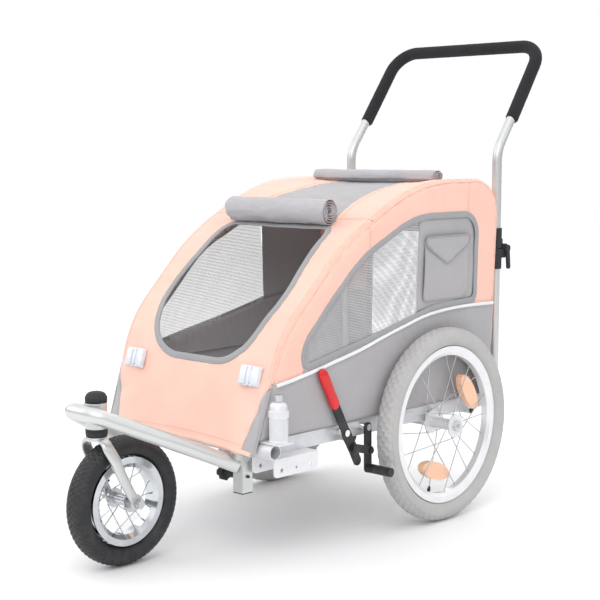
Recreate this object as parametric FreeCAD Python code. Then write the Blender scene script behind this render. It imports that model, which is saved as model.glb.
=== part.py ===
import FreeCAD, Part
import math
import os

# Two-wheeled pet trailer with its stroller kit: a fabric cabin on a floor frame, a swivelling
# front wheel on a bent yoke, a folding push handle and a parking brake at each rear wheel.
# Millimetres. +X is the stroller's left, -Y its front, +Z up. The floor is z = 0.

V = FreeCAD.Vector

# ---- running and seating clearances ----
RUN_GAP = 0.05          # radial gap of a running shaft
SOFT_GAP = 0.3          # gap between neighbouring loose pieces
SIDE_GAP = 0.3          # side play beside a turning piece

RUN_SHARE = 0.49        # most of a straight run that one rounded corner may take

# ---- overall plan ----
WHEELBASE = 647.0       # rear axle to front axle
HANDLE_BACK = 399.0     # rear axle back to the grip bar's centre
GRIP_R = 14.0
FRONT_R = 121.0         # front tyre, outside radius
REAR_R = 200.0          # rear tyre, outside radius
REAR_X = 243.0          # rear wheel's middle plane
REAR_Y = (WHEELBASE + FRONT_R - HANDLE_BACK - GRIP_R) / 2.0
FRONT_Y = REAR_Y - WHEELBASE

# ---- floor frame ----
RAIL_X = 205.0          # outer face of a side rail
RAIL_W = 20.0
RAIL_WALL = 2.0
CROSS_R = 14.5          # front cross tube; the rails are as tall as it is
CROSS_WALL = 2.0
FRAME_Z = 220.0         # mid height of rails and front cross tube
CROSS_Y = REAR_Y - 490.0
SOCKET_X = 238.0        # left end of the cross tube, open as the tow arm's socket
SOCKET_DEPTH = 60.0
BEARER_R = 10.0         # tubes under the floor, and the axle tube
BEARER_YS = (REAR_Y - 240.0, REAR_Y + 150.0)
FLOOR_Z = 214.0         # under side of the floor board
FLOOR_T = 5.0
AXLE_TUBE_X = 208.5     # end of the axle tube

# ---- cabin ----
COVER_T = 3.0
COVER_X = 210.0         # inner face of a side cover
LOCK_BASE_T = 3.5       # deck of the hitch lock, on the front tube beside the cover
COVER_BOTTOM_Z = FRAME_Z + CROSS_R + LOCK_BASE_T + 1.0   # lower edge of the covers
COVER_BACK = REAR_Y + 212.0
SIDE_LEAN = 2.0         # degrees that each side leans outwards
HEM_Y, HEM_Z = REAR_Y - 519.0, 211.0
NOSE_Y, NOSE_Z, NOSE_R = REAR_Y - 448.0, 424.0, 250.0
BROW_Y, BROW_Z, BROW_R = REAR_Y - 285.0, 584.0, 450.0
ROOF_Y, ROOF_Z, ROOF_R = REAR_Y - 66.0, 699.0, 450.0
BACK_R = 80.0           # rear top corner
FRONT_END_Y = REAR_Y - 205.0
ROOF_END_Y = REAR_Y + 120.0
HOOP_R = 8.0            # steel hoop inside each side
HOOP_INSET = 12.0       # hoop's centre line below the cover's outer face
HOOP_X = 199.0          # hoop at the foot of the side
SPREADER_YS = (REAR_Y - 170.0, REAR_Y + 110.0)
MESH_T = 1.5
ROLL_R, ROLL_HALF = 28.0, 138.0
ROLL_Y, ROLL_Z = REAR_Y - 216.0, ROOF_Z - 47.0
ROOF_ROLL_R, ROOF_ROLL_HALF = 15.0, 174.0
ROOF_ROLL_Y = REAR_Y + 66.0
CLIP_X, CLIP_Z = 162.0, 348.0
CLIP_W, CLIP_H, CLIP_T = 50.0, 38.0, 10.0

# ---- front yoke and head ----
HEAD_Y = FRONT_Y - 58.0
STEERER_R = 14.0
HEAD_BORE = STEERER_R + 2.5
HEAD_R = HEAD_BORE + 3.0
HEAD_Z0, HEAD_Z1 = 264.0, 311.0
CUP_Z0 = 249.0
CAP_H = 20.0
YOKE_R = 14.3
YOKE_WALL = 1.6
YOKE_BULGE = 12.0       # how far each arm bows outwards at its middle
YOKE_ARM_R, YOKE_NOSE_R = 300.0, 30.0
YOKE_COPE = 2.0         # how far the bow is coped onto the head tube
YOKE_Z = 296.0          # bow where it passes the head tube
YOKE_END_Z = 186.0      # bow where it meets a post
POST_X = 158.0
POST_Y = REAR_Y - 494.0
POST_W = 25.0
POST_WALL = 2.0
POST_Z0 = 136.0
SADDLE_H = 16.0         # saddle below the cross tube's middle
SADDLE_W, SADDLE_D = 34.0, 34.0
KNOB_Z = 166.0
KNOB_R, KNOB_T = 16.0, 13.0
KNOB_BOSS_L = 28.0

# ---- fork and front wheel ----
CROWN_T = 7.0
BLADE_X = 37.0          # middle of a fork blade
BLADE_T = 8.0
BLADE_W = 21.0
FRONT_TYRE_W = 48.0
FRONT_RIM_R = 82.5
FRONT_RIM_W = 34.0
FRONT_RIM_DEPTH = 20.0
FRONT_AXLE_R = 5.0
FRONT_FLANGE_R, FRONT_FLANGE_X = 18.0, 24.0
FRONT_SPOKES = 16
NUT_AF = 15.0

# ---- rear wheels ----
REAR_TYRE_W = 44.0
REAR_RIM_R = 162.0
REAR_RIM_W = 24.0
REAR_RIM_DEPTH = 19.0
REAR_AXLE_R = 6.35
REAR_FLANGE_R, REAR_FLANGE_X = 24.0, 30.0
REAR_SPOKES = 20
HUB_END = 33.0          # hub's half length
REAR_HUB_R = 11.5
AXLE_OUT = 38.0         # axle end beyond the wheel's middle plane
BUTTON_R, BUTTON_OUT = 4.0, 4.0
REFLECTOR_W, REFLECTOR_H, REFLECTOR_T = 92.0, 36.0, 13.6
REFLECTOR_AT = 98.0
SPOKE_R = 1.0
SPOKE_LEAN = 1.05       # radians that a spoke runs round the hub

# ---- tow hitch on the left rail ----
HITCH_Y0, HITCH_Y1 = REAR_Y - 489.0, REAR_Y - 374.0
HITCH_X0, HITCH_X1 = 177.0, 235.0
HITCH_T = 3.0
HITCH_DROP = 34.0
HITCH_HOLE_R = 4.25
HITCH_HOLE_PITCH = 38.0
LOCK_X, LOCK_Y = 236.5, REAR_Y - 480.0
LOCK_R, LOCK_BORE = 18.5, 6.0
LOCK_NECK_R = LOCK_R * 0.78
LOCK_TOP_R = LOCK_R * 0.7
LOCK_NECK_SHARE = 0.62  # share of the tower's height that its neck takes
LOCK_RING_SHARE = 0.9   # share at which its ring ends
LOCK_H = 73.0
PULL_R, PULL_H = 7.5, 13.0

# ---- brakes ----
BAR_X0, BAR_T, BAR_W = 223.0, 4.0, 19.0
LINK_T = 3.0
PIN_R = 4.0
STUD_R = 3.0
EYE_PLAY = 0.6          # radial play at the open eye of the link
LEVER_Y, LEVER_Z = REAR_Y - 284.0, 222.0
ARM_Y, ARM_Z = REAR_Y - 220.0, 224.0
LEVER_STUD = (REAR_Y - 265.0, 191.0)
ARM_STUD = (REAR_Y - 216.0, 178.0)
LEVER_TOP = (REAR_Y - 349.0, 342.0)
LEVER_FOOT = (REAR_Y - 251.0, 163.0)
PAD_Y, PAD_Z = REAR_Y - 219.0, 143.0
PAD_R, PAD_END_X = 9.0, 284.0
BRAKE_GRIP_L, BRAKE_GRIP_W, BRAKE_GRIP_T = 92.0, 23.0, 12.5

# ---- push handle ----
HANDLE_X = 208.0        # lower tubes
HANDLE_TOP_X = 204.0    # corners of the grip bar
HANDLE_R, HANDLE_WALL = 10.0, 1.5
UPRIGHT_Y = REAR_Y + 226.0
HANDLE_KNEE_Z = 758.0
HANDLE_TOP_Z = 992.0
HANDLE_KNEE_R, HANDLE_CORNER_R = 70.0, 55.0
GRIP_START = 0.30       # share of the sloped leg left bare
PIVOT_Z = 548.0
PIVOT_BACK = 19.0       # pivot behind the tube's centre
HINGE_H = 44.0
HINGE_W = 26.0
EAR_R = 10.2            # ends short of the handle tube's wall as the tube swings past
TONGUE_T = 10.0
HINGE_PIN_R = 4.0
CAM_L = 40.0

RAIL_Z0, RAIL_Z1 = FRAME_Z - CROSS_R, FRAME_Z + CROSS_R
RAIL_Y0 = CROSS_Y + CROSS_R
RAIL_Y1 = UPRIGHT_Y - HANDLE_R
RAIL_IN = RAIL_X - RAIL_W


# ---------------------------------------------------------------- helpers
def box(x0, x1, y0, y1, z0, z1):
    return Part.makeBox(x1 - x0, y1 - y0, z1 - z0, V(x0, y0, z0))


def rod(start, end, radius):
    run = end - start
    return Part.makeCylinder(radius, run.Length, start, run)


def pipe_straight(start, end, radius, bore):
    return rod(start, end, radius).cut(rod(start, end, bore))


def mirrored(shape):
    return shape.mirror(V(0, 0, 0), V(1, 0, 0))


def pair(shape):
    """The piece and its mirror image as two separate solids."""
    return Part.Compound([shape, mirrored(shape)])


def rounded_path(points, radii):
    """Straight runs joined by tangent arcs; radii belong to the inner points."""
    edges = []
    at = points[0]
    for before, corner, after, radius in zip(points, points[1:], points[2:], radii):
        into = (corner - before).normalize()
        out = (after - corner).normalize()
        half = into.getAngle(out) / 2.0
        room = RUN_SHARE * min((corner - before).Length, (after - corner).Length)
        bend = min(radius, room / math.tan(half))
        reach = bend * math.tan(half)
        first = corner - into * reach
        last = corner + out * reach
        bisector = (out - into).normalize()
        middle = corner + bisector * (bend / math.cos(half) - bend)
        if (first - at).Length > 1e-6:
            edges.append(Part.makeLine(at, first))
        edges.append(Part.Arc(first, middle, last).toShape())
        at = last
    edges.append(Part.makeLine(at, points[-1]))
    return Part.Wire(edges)


def rounded_outline(points, radii):
    """A closed outline with every corner rounded."""
    start = (points[-1] + points[0]) * 0.5
    path = rounded_path([start] + points + [start], radii)
    return Part.Wire(path.Edges)


def swept(path, radius):
    first = path.Edges[0]
    start = first.Vertexes[0].Point
    ring = Part.Wire(Part.makeCircle(radius, start, first.tangentAt(first.FirstParameter)))
    return path.makePipeShell([ring], True, False)


def swept_tube(path, radius, wall):
    return swept(path, radius).cut(swept(path, radius - wall))


def revolved(points):
    """Solid of revolution about the X axis from (x, radius) points."""
    corners = [V(x, 0, r) for x, r in points]
    face = Part.Face(Part.makePolygon(corners + corners[:1]))
    return face.revolve(V(0, 0, 0), V(1, 0, 0), 360)


def ring_about_x(radius, bore, half_width):
    return revolved([(-half_width, bore), (half_width, bore), (half_width, radius), (-half_width, radius)])


def moved(shape, x, y, z):
    copy = shape.copy()
    copy.translate(V(x, y, z))
    return copy


def link_plate(a, b, x0, thickness, width):
    """A flat bar with round ends between two (y, z) points."""
    start, end = V(x0, a[0], a[1]), V(x0, b[0], b[1])
    across = V(thickness, 0, 0)
    run = (end - start).normalize()
    side = run.cross(V(1, 0, 0)) * (width / 2.0)
    corners = [start + side, end + side, end - side, start - side, start + side]
    plate = Part.Face(Part.makePolygon(corners)).extrude(across)
    for centre in (start, end):
        plate = plate.fuse(Part.makeCylinder(width / 2.0, thickness, centre, V(1, 0, 0)))
    return plate.removeSplitter()


def pin_x(x0, x1, y, z, radius):
    return rod(V(x0, y, z), V(x1, y, z), radius)


PARTS = {}


# ---------------------------------------------------------------- floor frame
def floor_frame():
    rail = box(RAIL_IN, RAIL_X, RAIL_Y0, RAIL_Y1, RAIL_Z0, RAIL_Z1)
    hollow = box(RAIL_IN + RAIL_WALL, RAIL_X - RAIL_WALL, RAIL_Y0 - 1, RAIL_Y1 + 1,
                 RAIL_Z0 + RAIL_WALL, RAIL_Z1 - RAIL_WALL)
    axle_seat = pin_x(0, RAIL_X + 1, REAR_Y, REAR_R, BEARER_R)
    PARTS["side_rails"] = pair(rail.cut(hollow).cut(axle_seat))

    cross = pin_x(-RAIL_X, SOCKET_X, CROSS_Y, FRAME_Z, CROSS_R)
    bore = CROSS_R - CROSS_WALL
    inner_end = SOCKET_X - SOCKET_DEPTH
    cross = cross.cut(pin_x(inner_end, SOCKET_X + 1, CROSS_Y, FRAME_Z, bore))
    cross = cross.cut(pin_x(-RAIL_X - 1, inner_end - CROSS_WALL, CROSS_Y, FRAME_Z, bore))
    PARTS["front_cross_tube"] = cross

    bearers = []
    for y in BEARER_YS:
        bearer = pin_x(-RAIL_X, RAIL_X, y, FLOOR_Z - BEARER_R, BEARER_R)
        bearer = bearer.cut(pin_x(-RAIL_X - 1, RAIL_X + 1, y, FLOOR_Z - BEARER_R, BEARER_R - 1.5))
        for side in (box(RAIL_IN, RAIL_X + 1, y - 20, y + 20, RAIL_Z0, RAIL_Z1),
                     box(-RAIL_X - 1, -RAIL_IN, y - 20, y + 20, RAIL_Z0, RAIL_Z1)):
            bearer = bearer.cut(side)
        bearers.append(bearer)
    axle_tube = pipe_straight(V(-AXLE_TUBE_X, REAR_Y, REAR_R), V(AXLE_TUBE_X, REAR_Y, REAR_R),
                              BEARER_R, REAR_AXLE_R + RUN_GAP)
    PARTS["floor_bearers"] = Part.Compound(bearers + [axle_tube])

    edge = RAIL_IN - SOFT_GAP
    PARTS["floor_board"] = box(-edge, edge, RAIL_Y0 + 2, RAIL_Y1 - 6, FLOOR_Z, FLOOR_Z + FLOOR_T)


# ---------------------------------------------------------------- cabin
def cabin_corners():
    return [V(0, HEM_Y, HEM_Z), V(0, NOSE_Y, NOSE_Z), V(0, BROW_Y, BROW_Z),
            V(0, ROOF_Y, ROOF_Z), V(0, COVER_BACK, ROOF_Z), V(0, COVER_BACK, COVER_BOTTOM_Z)]


def side_outline():
    """The arch in side view, from the front hem over the roof to the rear lower edge."""
    return rounded_path(cabin_corners(), [NOSE_R, BROW_R, ROOF_R, BACK_R])


def inset_outline(inset):
    """The same arch, moved inwards by inset with its ends kept level."""
    corners = cabin_corners()
    moved_in = [corners[0] + V(0, inset / math.sin(math.atan2(NOSE_Z - HEM_Z, NOSE_Y - HEM_Y)), 0)]
    for before, corner, after in zip(corners, corners[1:], corners[2:]):
        into = (corner - before).normalize()
        out = (after - corner).normalize()
        half = into.getAngle(out) / 2.0
        moved_in.append(corner + (out - into).normalize() * (inset / math.cos(half)))
    moved_in.append(corners[-1] - V(0, inset, 0))
    return rounded_path(moved_in, [NOSE_R - inset, BROW_R - inset, ROOF_R - inset, BACK_R - inset])


def closed_face(path):
    ends = [path.OrderedVertexes[0].Point, path.OrderedVertexes[-1].Point]
    low = V(0, ends[1].y, ends[0].z)
    closing = [Part.makeLine(ends[1], low), Part.makeLine(low, ends[0])]
    return Part.Face(Part.Wire(path.OrderedEdges + closing))


def side_window(inset):
    """Outline of the side window; its lower edge runs along the piping."""
    corners = [(-398, 347), (-395, 400), (-243, 552), (-75, 627),
               (129, 627), (134, 433), (-5, 430), (-205, 388)]
    radii = [16, 60, 300, 250, 42, 16, 300, 400]
    outline = rounded_outline([V(0, REAR_Y + y, z) for y, z in corners], radii)
    return outline.makeOffset2D(-inset) if inset else outline


def lean(shape):
    """Tilt a left-hand side piece outwards about its lower edge."""
    tilted = shape.copy()
    tilted.rotate(V(COVER_X, 0, COVER_BOTTOM_Z), V(0, 1, 0), SIDE_LEAN)
    return tilted


def spread(z):
    """How much wider each side is at a height than at its lower edge."""
    return (z - COVER_BOTTOM_Z) * math.tan(math.radians(SIDE_LEAN))


def between_sides():
    """The space between the two leaning sides."""
    low, high = HEM_Z - 20, ROOF_Z + 60
    edge = COVER_X - SOFT_GAP
    corners = [(-edge - spread(low), low), (edge + spread(low), low),
               (edge + spread(high), high), (-edge - spread(high), high)]
    points = [V(x, HEM_Y - 60, z) for x, z in corners]
    face = Part.Face(Part.makePolygon(points + points[:1]))
    return face.extrude(V(0, COVER_BACK - HEM_Y + 120, 0))


def cabin():
    outer = closed_face(side_outline())
    whole = outer.extrude(V(COVER_T, 0, 0))
    whole.translate(V(COVER_X, 0, 0))
    below = box(0, 400, HEM_Y - 50, COVER_BACK + 50, HEM_Z - 10, COVER_BOTTOM_Z)
    opening = Part.Face(side_window(0)).extrude(V(2 * COVER_T, 0, 0))
    opening.translate(V(COVER_X - COVER_T / 2.0, 0, 0))
    PARTS["side_covers"] = pair(lean(whole.cut(below).cut(opening)))
    mesh = Part.Face(side_window(SOFT_GAP)).extrude(V(MESH_T, 0, 0))
    mesh.translate(V(COVER_X + (COVER_T - MESH_T) / 2.0, 0, 0))
    PARTS["side_meshes"] = pair(lean(mesh))

    band = outer.cut(closed_face(inset_outline(COVER_T)))
    reach = COVER_X + 50
    arch = max(band.Faces, key=lambda face: face.Area).extrude(V(2 * reach, 0, 0))
    arch.translate(V(-reach, 0, 0))
    arch = arch.common(between_sides())
    front = arch.common(box(-reach, reach, HEM_Y - 50, FRONT_END_Y, HEM_Z, ROOF_Z + 50))
    PARTS["front_cover"] = front.cut(front_window())
    PARTS["roof_cover"] = arch.common(box(-reach, reach, FRONT_END_Y + SOFT_GAP, ROOF_END_Y,
                                          ROOF_Z - 150, ROOF_Z + 50))
    PARTS["rear_cover"] = arch.common(box(-reach, reach, ROOF_END_Y + SOFT_GAP, COVER_BACK + 50,
                                          COVER_BOTTOM_Z, ROOF_Z + 50))


def front_window():
    """Teardrop opening, cut along Y through the front cover."""
    corners = [(-146, 612), (-160, 480), (-120, 365), (120, 365), (160, 480), (146, 612)]
    outline = rounded_outline([V(x, HEM_Y - 20, z) for x, z in corners], [25, 150, 95, 95, 150, 25])
    return Part.Face(outline).extrude(V(0, FRONT_END_Y - HEM_Y - 2, 0))


def hoops():
    """One bent tube inside each side, standing on the rails, and the spreaders between them."""
    path = inset_outline(HOOP_INSET + HOOP_R / 2.0)
    tube = swept_tube(path, HOOP_R, 1.2)
    tube.translate(V(HOOP_X - HOOP_R / 2.0, 0, 0))
    tube = lean(tube).cut(box(0, 400, HEM_Y - 50, COVER_BACK + 50, HEM_Z - 50, RAIL_Z1))
    bars = []
    for y in SPREADER_YS:
        z = min(path.discretize(Number=800), key=lambda point: abs(point.y - y)).z
        reach = HOOP_X + spread(z) - HOOP_R * 1.5 - SOFT_GAP
        bars.append(pipe_straight(V(-reach, y, z), V(reach, y, z), HOOP_R - 1, HOOP_R - 2.2))
    PARTS["cabin_hoops"] = Part.Compound([tube, mirrored(tube)] + bars)


def rolls_and_clips():
    front_roll = pin_x(-ROLL_HALF, ROLL_HALF, ROLL_Y, ROLL_Z, ROLL_R)
    roof_roll = pin_x(-ROOF_ROLL_HALF, ROOF_ROLL_HALF, ROOF_ROLL_Y,
                      ROOF_Z + ROOF_ROLL_R + SOFT_GAP, ROOF_ROLL_R)
    PARTS["flap_rolls"] = Part.Compound([front_roll, roof_roll])

    slope = math.degrees(math.atan2(NOSE_Z - HEM_Z, NOSE_Y - HEM_Y))
    on_front = HEM_Y + (CLIP_Z - HEM_Z) / math.tan(math.radians(slope))
    plate = box(-CLIP_W / 2, CLIP_W / 2, -CLIP_T, 0, -CLIP_H / 2, CLIP_H / 2)
    plate = plate.makeFillet(3.0, plate.Edges)
    plate.rotate(V(0, 0, 0), V(1, 0, 0), slope - 90)
    lift = V(0, -math.sin(math.radians(slope)), math.cos(math.radians(slope))) * SOFT_GAP
    PARTS["front_clips"] = pair(moved(plate, CLIP_X, on_front + lift.y, CLIP_Z + lift.z))


# ---------------------------------------------------------------- yoke and head
def saddle_block(x, low):
    """Clamp block that carries a post under the front cross tube."""
    return box(x - SADDLE_W / 2, x + SADDLE_W / 2, POST_Y - SADDLE_D / 2, POST_Y + SADDLE_D / 2, low, FRAME_Z)


def yoke():
    front = HEAD_Y - (HEAD_R + YOKE_R - YOKE_COPE)
    end = V(POST_X - 6, POST_Y - POST_W / 2 + 2, YOKE_END_Z)
    nose = V(HEAD_R + YOKE_R, front, YOKE_Z)
    bowed = (end + nose) * 0.5 + V(YOKE_BULGE, 0, 0)
    half = [end, bowed, nose]
    points = half + [V(-p.x, p.y, p.z) for p in reversed(half)]
    path = rounded_path(points, [YOKE_ARM_R, YOKE_NOSE_R, YOKE_NOSE_R, YOKE_ARM_R])
    tube = swept_tube(path, YOKE_R, YOKE_WALL)
    tube = tube.cut(rod(V(0, HEAD_Y, HEAD_Z0 - 5), V(0, HEAD_Y, HEAD_Z1 + 5), HEAD_R))
    posts = [box(x - POST_W / 2, x + POST_W / 2, POST_Y - POST_W / 2, POST_Y + POST_W / 2,
                 POST_Z0, FRAME_Z - SADDLE_H - CROSS_R / 2) for x in (POST_X, -POST_X)]
    saddle_z0 = posts[0].BoundBox.ZMax
    for x, post in zip((POST_X, -POST_X), posts):
        tube = tube.cut(post).cut(saddle_block(x, saddle_z0))
    PARTS["yoke_bow"] = max(tube.Solids, key=lambda solid: solid.Volume)

    post_solids, saddles, plugs = [], [], []
    for x in (POST_X, -POST_X):
        inner = POST_W / 2 - POST_WALL
        outer = box(x - POST_W / 2, x + POST_W / 2, POST_Y - POST_W / 2, POST_Y + POST_W / 2,
                    POST_Z0, saddle_z0)
        core = box(x - inner, x + inner, POST_Y - inner, POST_Y + inner, POST_Z0 - 1, saddle_z0 + 1)
        stud_hole = pin_x(x - POST_W, x + POST_W, POST_Y, KNOB_Z, STUD_R + RUN_GAP)
        post_solids.append(outer.cut(core).cut(stud_hole))
        saddle = saddle_block(x, saddle_z0)
        saddles.append(saddle.cut(pin_x(x - 50, x + 50, CROSS_Y, FRAME_Z, CROSS_R + RUN_GAP)))
        plug = box(x - inner, x + inner, POST_Y - inner, POST_Y + inner, POST_Z0, POST_Z0 + 8)
        sole = box(x - POST_W / 2, x + POST_W / 2, POST_Y - POST_W / 2, POST_Y + POST_W / 2,
                   POST_Z0 - 2, POST_Z0)
        plugs.append(plug.fuse(sole).removeSplitter())
    saddles = [max(saddle.Solids, key=lambda solid: solid.Volume) for saddle in saddles]
    PARTS["yoke_posts"] = Part.Compound(post_solids + saddles)
    end_plug = pin_x(-RAIL_X - 2, -RAIL_X, CROSS_Y, FRAME_Z, CROSS_R)
    end_plug = end_plug.fuse(pin_x(-RAIL_X, -RAIL_X + 10, CROSS_Y, FRAME_Z, CROSS_R - CROSS_WALL))
    PARTS["tube_plugs"] = Part.Compound(plugs + [end_plug.removeSplitter()])

    for side, sign in (("left", 1), ("right", -1)):
        face = sign * (POST_X - POST_W / 2)
        under = face - sign * KNOB_BOSS_L
        boss = pin_x(*sorted((under, face - sign * SIDE_GAP)), POST_Y, KNOB_Z, 8)
        head = pin_x(*sorted((under - sign * KNOB_T, under)), POST_Y, KNOB_Z, KNOB_R)
        for k in range(5):
            turn = 2 * math.pi * k / 5
            notch_y = POST_Y + (KNOB_R + 4) * math.cos(turn)
            notch_z = KNOB_Z + (KNOB_R + 4) * math.sin(turn)
            head = head.cut(pin_x(-400, 400, notch_y, notch_z, 7))
        shank = pin_x(*sorted((under, face + sign * (POST_W + 3))), POST_Y, KNOB_Z, STUD_R)
        PARTS["yoke_knob_" + side] = head.fuse(boss).fuse(shank).removeSplitter()


def head():
    bottom, top = V(0, HEAD_Y, HEAD_Z0), V(0, HEAD_Y, HEAD_Z1)
    PARTS["head_tube"] = pipe_straight(bottom, top, HEAD_R, HEAD_BORE)
    seat = 8.0
    rings = [pipe_straight(V(0, HEAD_Y, z), V(0, HEAD_Y, z + seat), HEAD_BORE, STEERER_R + RUN_GAP)
             for z in (HEAD_Z0, HEAD_Z1 - seat)]
    PARTS["head_bearings"] = Part.Compound(rings)
    cup = pipe_straight(V(0, HEAD_Y, CUP_Z0), bottom, HEAD_R + 0.5, STEERER_R + 1.0)
    dome = rod(top, top + V(0, 0, CAP_H * 0.6), HEAD_R + 0.5)
    dome = dome.fuse(rod(top + V(0, 0, CAP_H * 0.6), top + V(0, 0, CAP_H), HEAD_R - 1))
    dome = dome.removeSplitter()
    rims = [e for e in dome.Edges if e.BoundBox.ZMin > HEAD_Z1 + CAP_H - 0.1 and e.BoundBox.ZLength < 0.1]
    dome = dome.makeFillet(7.0, rims)
    dome = dome.cut(rod(top - V(0, 0, 1), top + V(0, 0, 9), STEERER_R + 1.0))
    PARTS["head_caps"] = Part.Compound([cup, dome])


# ---------------------------------------------------------------- fork and front wheel
def fork():
    crown_z0 = CUP_Z0 - SIDE_GAP - CROWN_T
    top = HEAD_Z1 + 7.0
    PARTS["steerer"] = rod(V(0, HEAD_Y, CUP_Z0 - SIDE_GAP), V(0, HEAD_Y, top), STEERER_R)
    outer = BLADE_X + BLADE_T / 2
    crown = box(-outer, outer, HEAD_Y - BLADE_W / 2, HEAD_Y + BLADE_W / 2, crown_z0, crown_z0 + CROWN_T)
    crown = crown.fuse(rod(V(0, HEAD_Y, crown_z0), V(0, HEAD_Y, crown_z0 + CROWN_T), HEAD_R))
    tips = [e for e in crown.Edges
            if e.BoundBox.XLength < 0.1 and e.BoundBox.ZLength < 0.1 and e.BoundBox.ZMin > crown_z0 + 1]
    crown = crown.makeFillet(CROWN_T - 1.0, tips)
    blades = []
    stations = ((0.0, 1.0), (0.25, 1.0), (0.5, 0.98), (0.75, 0.9), (1.0, 0.8))
    low_z = FRONT_R + NUT_AF * 0.8
    for sign in (1, -1):
        rings = []
        for share, width in stations:
            z = crown_z0 - share * (crown_z0 - low_z)
            y = HEAD_Y + (FRONT_Y - HEAD_Y) * (share ** 1.35)
            ring = Part.Ellipse(V(0, 0, 0), BLADE_W / 2 * width, BLADE_T / 2).toShape()
            ring.rotate(V(0, 0, 0), V(0, 0, 1), 90)
            ring.translate(V(sign * BLADE_X, y, z))
            rings.append(Part.Wire(ring))
        blade = Part.makeLoft(rings, True, False)
        x0, x1 = sorted((sign * (BLADE_X - 2.5), sign * (BLADE_X + 2.5)))
        dropout = pin_x(x0, x1, FRONT_Y, FRONT_R, 12)
        dropout = dropout.fuse(box(x0, x1, FRONT_Y - 7, FRONT_Y + 7, FRONT_R, low_z + 12))
        blade = blade.fuse(dropout)
        blades.append(blade)
    whole = crown.fuse(blades[0]).fuse(blades[1])
    whole = whole.cut(pin_x(-80, 80, FRONT_Y, FRONT_R, FRONT_AXLE_R + RUN_GAP))
    PARTS["fork"] = whole

    end = BLADE_X + BLADE_T / 2 + 9
    axle = pin_x(-end, end, FRONT_Y, FRONT_R, FRONT_AXLE_R)
    nuts, caps = [], []
    for sign in (1, -1):
        seat = sign * (BLADE_X + 2.5)
        nut = hexagon(FRONT_Y, FRONT_R, NUT_AF).extrude(V(sign * 6, 0, 0))
        nut = moved(nut, seat, 0, 0).cut(pin_x(-80, 80, FRONT_Y, FRONT_R, FRONT_AXLE_R))
        nuts.append(nut)
        x0, x1 = sorted((seat + sign * 6.1, sign * (end + 3)))
        cap = pin_x(x0, x1, FRONT_Y, FRONT_R, 7.5)
        caps.append(cap.cut(pin_x(-end, end, FRONT_Y, FRONT_R, FRONT_AXLE_R)))
    PARTS["front_axle"] = Part.Compound([axle] + nuts)
    PARTS["front_axle_caps"] = Part.Compound(caps)


def hexagon(y, z, across_flats):
    radius = across_flats / math.sqrt(3)
    corners = [V(0, y + radius * math.cos(math.radians(60 * k)), z + radius * math.sin(math.radians(60 * k)))
               for k in range(7)]
    return Part.Face(Part.makePolygon(corners))


def tyre(radius, rim_radius, width, rim_width):
    """Tyre of oval section, open towards the rim it sits on."""
    height = (radius - rim_radius) / 2 + 2
    centre = radius - height
    rings = []
    for wall in (0.0, 4.0):
        long_half = max(height, width / 2) - wall
        short_half = min(height, width / 2) - wall
        oval = Part.Ellipse(V(0, 0, 0), long_half, short_half).toShape()
        if height < width / 2:
            oval.rotate(V(0, 0, 0), V(1, 0, 0), 90)
        else:
            oval.rotate(V(0, 0, 0), V(0, 0, 1), 90)
            oval.rotate(V(0, 0, 0), V(1, 0, 0), 90)
        oval.translate(V(0, 0, centre))
        rings.append(Part.Face(Part.Wire(oval)).revolve(V(0, 0, 0), V(1, 0, 0), 360))
    solid = rings[0].cut(rings[1])
    solid = solid.cut(ring_about_x(rim_radius, rim_radius - 20, rim_width / 2 + 0.1))
    return solid.cut(ring_about_x(rim_radius + 8, rim_radius - 20, rim_width / 2 - 5))


def rim(radius, width, depth):
    half = width / 2
    lip = 3.0
    well = radius - 7.0
    return revolved([(-half, radius), (-half, radius - 12), (-half * 0.6, radius - depth),
                     (half * 0.6, radius - depth), (half, radius - 12), (half, radius),
                     (half - lip, radius), (half - lip, well), (-half + lip, well), (-half + lip, radius)])


def hub(flange_r, flange_x, end_x, barrel_r, bore):
    profile = [(-end_x, bore), (end_x, bore), (end_x, barrel_r), (flange_x + 1.5, barrel_r),
               (flange_x + 1.5, flange_r), (flange_x - 1.5, flange_r), (flange_x - 1.5, barrel_r),
               (-flange_x + 1.5, barrel_r), (-flange_x + 1.5, flange_r), (-flange_x - 1.5, flange_r),
               (-flange_x - 1.5, barrel_r), (-end_x, barrel_r)]
    return revolved(profile)


def spokes(count, flange_r, flange_x, rim_r):
    """Crossed spokes, half of them from each flange, each leaning one way or the other."""
    wires = []
    for k in range(count):
        side = 1 if k % 2 else -1
        lean = 1 if (k // 2) % 2 else -1
        at_rim = 2 * math.pi * k / count
        at_hub = at_rim + lean * SPOKE_LEAN
        hub_r = flange_r + 0.7
        start = V(side * flange_x + lean * 1.3, hub_r * math.cos(at_hub), hub_r * math.sin(at_hub))
        end = V(side * 3.0, (rim_r - 0.3) * math.cos(at_rim), (rim_r - 0.3) * math.sin(at_rim))
        wires.append(rod(start, end, SPOKE_R))
    return Part.Compound(wires)


def front_wheel():
    at = (0, FRONT_Y, FRONT_R)
    inner = FRONT_RIM_R - FRONT_RIM_DEPTH
    PARTS["front_tyre"] = moved(tyre(FRONT_R, FRONT_RIM_R, FRONT_TYRE_W, FRONT_RIM_W), *at)
    PARTS["front_rim"] = moved(rim(FRONT_RIM_R, FRONT_RIM_W, FRONT_RIM_DEPTH), *at)
    end = BLADE_X - BLADE_T / 2 - SIDE_GAP
    PARTS["front_hub"] = moved(hub(FRONT_FLANGE_R, FRONT_FLANGE_X, end, 10, FRONT_AXLE_R + RUN_GAP), *at)
    PARTS["front_spokes"] = moved(spokes(FRONT_SPOKES, FRONT_FLANGE_R, FRONT_FLANGE_X, inner), *at)


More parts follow.
